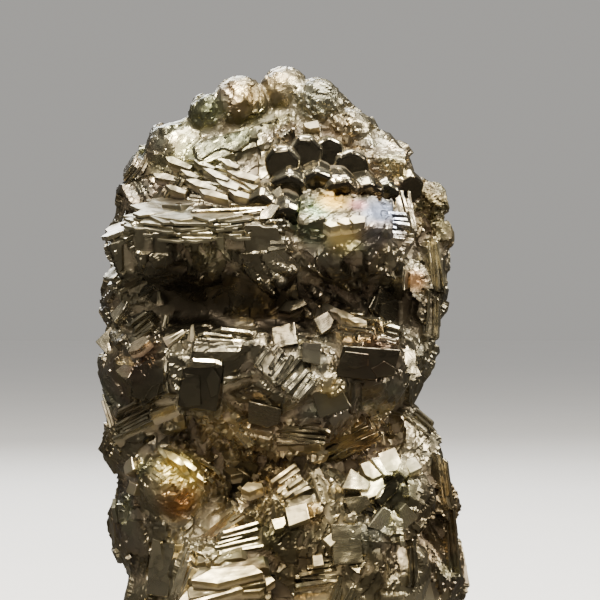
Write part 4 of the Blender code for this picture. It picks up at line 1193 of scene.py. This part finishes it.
def makeDruseNodes():
    tree = bpy.data.node_groups.new("druseScatter", "GeometryNodeTree")
    for name, way, kind in (("Geometry", "INPUT", "Geometry"), ("Seed", "INPUT", "Int"),
                            ("Geometry", "OUTPUT", "Geometry")):
        tree.interface.new_socket(name, in_out=way, socket_type="NodeSocket" + kind)

    def randomValue(kind, low, high, seed):
        first, second, out = {"FLOAT": (2, 3, 1), "FLOAT_VECTOR": (0, 1, 0)}[kind]
        values = {first: low, second: high, "Seed": seed}
        return nodeIn(tree, "FunctionNodeRandomValue", values, data_type=kind).outputs[out]

    given = nodeIn(tree, "NodeGroupInput").outputs
    density = nodeIn(tree, "GeometryNodeInputNamedAttribute", {"Name": "density"}, data_type="FLOAT")
    points = nodeIn(tree, "GeometryNodeDistributePointsOnFaces", {
        "Mesh": given["Geometry"], "Seed": given["Seed"],
        "Density": mathOf(tree, "MULTIPLY", density.outputs["Attribute"], druse["perSquareMm"])})
    patterns = nodeIn(tree, "GeometryNodeCollectionInfo", {
        "Collection": drusePatterns, "Separate Children": True, "Reset Children": True})
    most = Vector((druse["lean"], druse["lean"], math.pi))
    turn = nodeIn(tree, "FunctionNodeEulerToRotation", {0: randomValue("FLOAT_VECTOR", -most, most, 3)})
    lean = nodeIn(tree, "FunctionNodeRotateRotation", {
        0: points.outputs["Rotation"], 1: turn.outputs[0]}, rotation_space="LOCAL")
    size = mathOf(tree, "POWER", randomValue("FLOAT", 0.0, 1.0, 5), druse["smallShare"])
    instances = nodeIn(tree, "GeometryNodeInstanceOnPoints", {
        "Points": points.outputs["Points"], "Instance": patterns.outputs[0], "Pick Instance": True,
        "Rotation": lean.outputs[0],
        "Scale": rangeOf(tree, size, toMin=druse["sizes"][0], toMax=druse["sizes"][1])})
    last = instances.outputs["Instances"]
    for name, high, seed in (("crystalTone", 1.0, 7), ("crystalPolish", 0.95, 9)):
        last = nodeIn(tree, "GeometryNodeStoreNamedAttribute", {
            "Geometry": last, "Name": name, "Value": randomValue("FLOAT", 0.0, high, seed)},
            data_type="FLOAT", domain="INSTANCE").outputs["Geometry"]
    realized = nodeIn(tree, "GeometryNodeRealizeInstances", {"Geometry": last})
    nodeIn(tree, "NodeGroupOutput", {"Geometry": realized.outputs["Geometry"]})
    return tree


druseNodes = makeDruseNodes()


def growDruse(base, name, seed):
    made = bpy.data.objects.new(name, base.data.copy())
    scene.collection.objects.link(made)
    scatter = made.modifiers.new("scatter", "NODES")
    scatter.node_group = druseNodes
    scatter["Socket_1"] = seed
    mesh = bakeModifiers(made).data
    tone, polish = getAttribute(mesh, "crystalTone"), getAttribute(mesh, "crystalPolish")
    _, _, regionToneAndShade = paintedAt(coordinates(mesh))
    setAttribute(mesh, "tone", np.clip(0.1 + 0.8 * tone + 0.4 * regionToneAndShade, 0.0, 1.0))
    setAttribute(mesh, "polish", polish)
    setAttribute(mesh, "relief", np.clip(0.55 + 0.35 * tone, 0.0, 1.0))
    return made


upperHalf = partOf(wholeBody, "upperHalf", [(body["druseSplit"], True)])
lowerHalf = partOf(wholeBody, "lowerHalf", [(body["druseSplit"], False)])
upperDruse = growDruse(upperHalf, "upperDruse", 1)
lowerDruse = growDruse(lowerHalf, "lowerDruse", 2)
print("druse", len(upperDruse.data.polygons), len(lowerDruse.data.polygons))


# Materials. A group's inputs are given as name, kind and default value.
def newGroup(name, inputs, outputs):
    tree = bpy.data.node_groups.new(name, "ShaderNodeTree")
    for label, kind, value in inputs:
        socket = tree.interface.new_socket(label, in_out="INPUT", socket_type="NodeSocket" + kind)
        if value is not None:
            socket.default_value = value
    for label, kind in outputs:
        tree.interface.new_socket(label, in_out="OUTPUT", socket_type="NodeSocket" + kind)
    return tree, tree.nodes.new("NodeGroupInput").outputs, tree.nodes.new("NodeGroupOutput")


# Fine striae along each crystal face
def makeGrowthLines():
    tree, given, result = newGroup(
        "growthLines", [("Vector", "Vector", None), ("Fineness", "Float", 6.0)],
        [("Height", "Float"), ("Mask", "Float")])
    squeezed = nodeIn(
        tree, "ShaderNodeVectorMath", {0: given["Vector"], 1: (0.12, 1.0, 1.0)}, operation="MULTIPLY")
    fine = noiseOf(tree, squeezed.outputs[0], given["Fineness"], 3.0, 0.6)
    feed(tree, result, {"Height": fine, "Mask": rangeOf(tree, fine, 0.42, 0.62)})
    return tree


# Thin tarnish in gold, rose, violet, blue and green
def makeTarnishFilm():
    tree, given, result = newGroup(
        "tarnishFilm", [("Vector", "Vector", None), ("Scale", "Float", 160.0), ("Amount", "Float", 0.3)],
        [("Color", "Color"), ("Mask", "Float")])
    film = nodeIn(tree, "ShaderNodeValToRGB", {"Fac": noiseOf(tree, given["Vector"], given["Scale"], 2.0)})
    ramp = film.color_ramp
    ramp.elements[0].position, ramp.elements[0].color = 0.30, (1.00, 0.72, 0.36, 1.0)
    ramp.elements[1].position, ramp.elements[1].color = 0.72, (0.72, 0.95, 0.70, 1.0)
    for position, colour in ((0.42, (1.0, 0.86, 0.60, 1.0)), (0.50, (0.95, 0.62, 0.62, 1.0)),
                             (0.57, (0.74, 0.66, 1.00, 1.0)), (0.64, (0.60, 0.84, 1.00, 1.0))):
        ramp.elements.new(position).color = colour
    patches = noiseOf(tree, given["Vector"], 90.0, 3.0)
    spread = rangeOf(tree, patches, 0.45, 0.65, toMax=given["Amount"])
    feed(tree, result, {"Color": film.outputs["Color"], "Mask": spread})
    return tree


# Brown oxide in the hollows, mixed with painted shade: low relief darkens creases, hollows and the roots of
# crystals
def makeHollowOxideAndShade():
    tree, given, result = newGroup(
        "hollowOxideAndShade", [("Vector", "Vector", None), ("Relief", "Float", 0.5), ("Amount", "Float", 1.0)],
        [("Mask", "Float")])
    patches = noiseOf(tree, given["Vector"], 520.0, 4.0)
    broken = mathOf(tree, "MULTIPLY_ADD", patches, 0.5, given["Relief"])
    feed(tree, result, {"Mask": rangeOf(tree, broken, 0.34, 0.68, given["Amount"], 0.0)})
    return tree


# Pits and grains too fine to model
def makeFineGrit():
    tree, given, result = newGroup(
        "fineGrit", [("Vector", "Vector", None), ("Scale", "Float", 1500.0)], [("Height", "Float")])
    cells = nodeIn(tree, "ShaderNodeTexVoronoi", {"Vector": given["Vector"], "Scale": given["Scale"]})
    worn = noiseOf(tree, given["Vector"], given["Scale"], 3.0)
    feed(tree, result, {"Height": mathOf(tree, "ADD", cells.outputs["Distance"], worn)})
    return tree


# Broad waves that keep a face from mirroring one flat tone
def makeUnevenFaces():
    tree, given, result = newGroup(
        "unevenFaces", [("Vector", "Vector", None), ("Scale", "Float", 450.0)], [("Height", "Float")])
    feed(tree, result, {"Height": noiseOf(tree, given["Vector"], given["Scale"], 1.5)})
    return tree


growthLines, tarnishFilm = makeGrowthLines(), makeTarnishFilm()
hollowOxideAndShade, fineGrit, unevenFaces = makeHollowOxideAndShade(), makeFineGrit(), makeUnevenFaces()

pyrite = {
    # colours of the metal, from its dark faces to its pale ones, and of the oxide and painted shade in the
    # hollows
    "dark": (0.048, 0.041, 0.029, 1.0),
    "middle": (0.190, 0.168, 0.111, 1.0),
    "pale": (0.510, 0.455, 0.315, 1.0),
    "oxideAndShade": (0.046, 0.028, 0.015, 1.0),
    "metallic": (0.97, 0.25),  # of the clean metal and of the oxide with its painted shade
    "linesInTone": 0.03,
    "linesInPolish": -0.03,
    "oxideAndShadeRougher": 0.35,
    "oxideAndShadeWithGrit": 0.75,
    "pittingWithGrit": 0.5,
    # strength and depth in metres of the pits and of the broad waves
    "pits": (0.8, 0.0002),
    "waves": (0.55, 0.0006),
    "linesDepth": 0.0002,
}


def pyriteMaterial(name, lines, fineness, pitting, gritScale, oxideAndShade, film, roughest, smoothest):
    material = bpy.data.materials.new(name)
    material.use_nodes = True
    tree = material.node_tree
    place = nodeIn(tree, "ShaderNodeTexCoord").outputs["Object"]
    tone, polish, relief, grit, grain, tint = [
        nodeIn(tree, "ShaderNodeAttribute", attribute_name=label).outputs[out]
        for label, out in (("tone", "Fac"), ("polish", "Fac"), ("relief", "Fac"), ("grit", "Fac"),
                           ("grain", "Vector"), ("tint", "Color"))]
    striae = groupOf(tree, growthLines, Vector=grain, Fineness=fineness)
    tarnish = groupOf(tree, tarnishFilm, Vector=place, Amount=film)
    # Oxide and painted shade share one mask: hollows and crystal roots turn dark brown and rougher
    oxideAndShadeAmount = mathOf(tree, "MULTIPLY_ADD", grit, pyrite["oxideAndShadeWithGrit"], oxideAndShade)
    oxideAndShadeMask = groupOf(tree, hollowOxideAndShade, Vector=place, Relief=relief, Amount=oxideAndShadeAmount)["Mask"]
    pits = groupOf(tree, fineGrit, Vector=place, Scale=gritScale)["Height"]
    waves = groupOf(tree, unevenFaces, Vector=place)["Height"]

    lit = mathOf(tree, "MULTIPLY_ADD", striae["Mask"], pyrite["linesInTone"], tone)
    metal = nodeIn(tree, "ShaderNodeValToRGB", {"Fac": lit})
    metal.color_ramp.elements[0].color = pyrite["dark"]
    metal.color_ramp.elements[1].color = pyrite["pale"]
    metal.color_ramp.elements.new(0.5).color = pyrite["middle"]
    tinted = mixOf(tree, 1.0, metal.outputs["Color"], tint, "MULTIPLY")
    filmed = mixOf(tree, tarnish["Mask"], tinted, tarnish["Color"], "MULTIPLY")

    glossy = rangeOf(tree, polish, toMin=roughest, toMax=smoothest)
    streaked = mathOf(tree, "MULTIPLY_ADD", striae["Mask"], pyrite["linesInPolish"], glossy)
    dulled = mathOf(tree, "MULTIPLY_ADD", oxideAndShadeMask, pyrite["oxideAndShadeRougher"], streaked, use_clamp=True)

    ridged = bumpOf(tree, striae["Height"], lines, pyrite["linesDepth"])
    deeper = mathOf(tree, "MULTIPLY_ADD", grit, pyrite["pittingWithGrit"], pitting)
    pitted = bumpOf(tree, mathOf(tree, "MULTIPLY", pits, deeper), *pyrite["pits"], Normal=ridged)
    feed(tree, tree.nodes["Principled BSDF"], {
        "Base Color": mixOf(tree, oxideAndShadeMask, filmed, pyrite["oxideAndShade"]),
        "Metallic": rangeOf(tree, oxideAndShadeMask, toMin=pyrite["metallic"][0], toMax=pyrite["metallic"][1]),
        "Roughness": dulled,
        "Normal": bumpOf(tree, waves, *pyrite["waves"], Normal=pitted)})
    return material


# lines, fineness, pitting, grit scale, oxide and painted hollow shade, film, roughest, smoothest
looks = {
    "bodyPyrite": (0.08, 3.0, 0.10, 1300.0, 0.15, 0.35, 0.50, 0.20),
    "bladePyrite": (0.11, 3.0, 0.06, 1700.0, 0.70, 0.30, 0.46, 0.10),
    "drusePyrite": (0.05, 6.0, 0.06, 2600.0, 0.65, 0.25, 0.42, 0.10),
}
materials = {name: pyriteMaterial(name, *values) for name, values in looks.items()}

pieceLooks = [
    ("bodyPyrite", (upperBody, middleBody, lowerBody)),
    ("bladePyrite", (frontCrystals, coverCrystals)),
    ("drusePyrite", (upperDruse, lowerDruse)),
]
# Every piece takes the regions' tone, painted shade included
regionToneAndShadeShare = 0.6
for look, pieces in pieceLooks:
    for piece in pieces:
        mesh = piece.data
        tint, _, tone = paintedAt(coordinates(mesh))
        setAttribute(mesh, "tint", np.column_stack((tint, np.ones(len(tint)))), "FLOAT_COLOR")
        setAttribute(mesh, "tone", np.clip(getAttribute(mesh, "tone") + regionToneAndShadeShare * tone, 0.0, 1.0))
        cutLevel(mesh, 0.0, True)
        mesh.shade_flat()
        mesh.transform(toFrame)
        mesh.materials.clear()
        mesh.materials.append(materials[look])
        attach(piece, "root")
        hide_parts("pyrite_ball")
for left in (massSource, wholeBody, upperHalf, lowerHalf, *drusePatterns.objects):
    bpy.data.objects.remove(left)
print("materials on all pieces")


# Floor, light and camera
studio = {
    "floorRadius": 3.0,
    "floorColour": (0.55, 0.535, 0.51, 1.0),
    "floorInMetal": 0.05,  # how bright the floor is in reflections
    "fibres": (0.97, 1.03),  # how much the floor varies
    "daylight": 0.75,  # even light on the floor
    "roomScale": 2.6,  # of the lighter and darker parts of the room in reflections
    "roomSpread": (0.40, 0.60, 0.2, 2.0),
    "sensorWidth": 36.0,
    # world brightness above, at the horizon and below, for what the metal reflects
    "sky": [(0.0, 0.02), (0.47, 0.03), (0.55, 0.05), (0.75, 0.16), (1.0, 0.7)],
    # kind, place, aimed at, size, energy, colour
    "lights": [
        ("key", (-0.10, -0.26, 0.50), (0.0, 0.0, 0.055), 0.12, 9.0, (1.0, 0.94, 0.82)),
        ("low", (-0.06, -0.42, 0.26), (0.0, 0.0, 0.04), 0.16, 0.9, (1.0, 0.94, 0.84)),
        ("high right", (0.33, -0.12, 0.46), (0.0, 0.0, 0.04), 0.12, 4.0, (1.0, 0.98, 0.92)),
        ("overhead", (0.05, 0.0, 0.52), (0.0, 0.0, 0.05), 0.26, 5.0, (1.0, 0.98, 0.95)),
        ("right", (0.42, -0.10, 0.22), (0.0, 0.0, 0.04), 0.14, 2.4, (1.0, 0.92, 0.80)),
        ("front", (-0.12, -0.55, 0.13), (0.0, 0.0, 0.035), 0.22, 4.0, (1.0, 0.93, 0.84)),
        ("behind", (-0.10, 0.40, 0.34), (0.0, 0.0, 0.04), 0.30, 3.0, (0.92, 0.96, 1.0)),
    ],
}


def makeFloor():
    shape = bmesh.new()
    bmesh.ops.create_circle(shape, cap_ends=True, segments=96, radius=studio["floorRadius"])
    floor = objectFrom(shape, "floor")
    material = bpy.data.materials.new("paleFloor")
    material.use_nodes = True
    tree = material.node_tree
    place = nodeIn(tree, "ShaderNodeTexCoord").outputs["Object"]
    shade = rangeOf(tree, noiseOf(tree, place, 14.0, 5.0), 0.0, 1.0, *studio["fibres"])
    mirrored = nodeIn(tree, "ShaderNodeLightPath").outputs["Is Glossy Ray"]
    dimmed = rangeOf(tree, mirrored, toMin=1.0, toMax=studio["floorInMetal"])
    level = mathOf(tree, "MULTIPLY", shade, dimmed)
    colour = nodeIn(
        tree, "ShaderNodeVectorMath", {0: studio["floorColour"][:3], "Scale": level}, operation="SCALE")
    feed(tree, tree.nodes["Principled BSDF"], {
        "Base Color": colour.outputs[0], "Roughness": 0.85, "Specular IOR Level": 0.0})
    floor.data.materials.append(material)


# The camera sees the floor's colour beyond the floor, the metal mirrors a darker uneven room, and
# everything else is lit by even daylight.
def makeWorld():
    world = bpy.data.worlds.new("softStudio")
    scene.world = world
    world.use_nodes = True
    tree = world.node_tree
    towards = nodeIn(tree, "ShaderNodeTexCoord").outputs["Generated"]
    height = nodeIn(tree, "ShaderNodeSeparateXYZ", {0: towards}).outputs["Z"]
    sky = nodeIn(tree, "ShaderNodeValToRGB", {"Fac": rangeOf(tree, height, -1.0, 1.0)})
    for i, (position, level) in enumerate(studio["sky"]):
        stops = sky.color_ramp.elements
        stop = stops[0] if i == 0 else stops[-1] if i == len(studio["sky"]) - 1 else stops.new(position)
        stop.position, stop.color = position, (level, level, level, 1.0)
    room = noiseOf(tree, towards, studio["roomScale"], 1.0)
    lit = nodeIn(tree, "ShaderNodeVectorMath", {
        0: sky.outputs["Color"], "Scale": rangeOf(tree, room, *studio["roomSpread"])}, operation="SCALE")
    path = nodeIn(tree, "ShaderNodeLightPath").outputs
    day = studio["daylight"]
    seen = (*[day * part for part in studio["floorColour"][:3]], 1.0)
    even = mixOf(tree, path["Is Camera Ray"], (day, day, day, 1.0), seen)
    feed(tree, tree.nodes["Background"], {"Color": mixOf(tree, path["Is Glossy Ray"], even, lit.outputs[0])})


def makeLights():
    for name, place, aim, size, energy, colour in studio["lights"]:
        data = bpy.data.lights.new(name, "AREA")
        data.shape, data.size, data.energy, data.color = "DISK", size, energy, colour
        light = bpy.data.objects.new(name, data)
        scene.collection.objects.link(light)
        light.location = place
        light.rotation_mode = "QUATERNION"
        light.visible_glossy = name != "front"  # it lifts the dull oxide and not the metal
        light.rotation_quaternion = (Vector(aim) - Vector(place)).to_track_quat("-Z", "Y")


def makeCamera():
    data = bpy.data.cameras.new("camera")
    data.sensor_width = studio["sensorWidth"]
    data.lens = studio["sensorWidth"] * -specimen["eye"].y / specimen["viewWidth"]
    data.clip_start = 0.01
    camera = bpy.data.objects.new("camera", data)
    scene.collection.objects.link(camera)
    camera.location = toFrame @ specimen["eye"]
    camera.rotation_euler = (math.radians(90.0), 0.0, 0.0)
    scene.camera = camera


scene.view_settings.look = "AgX - Base Contrast"
makeFloor()
makeWorld()
makeLights()
makeCamera()
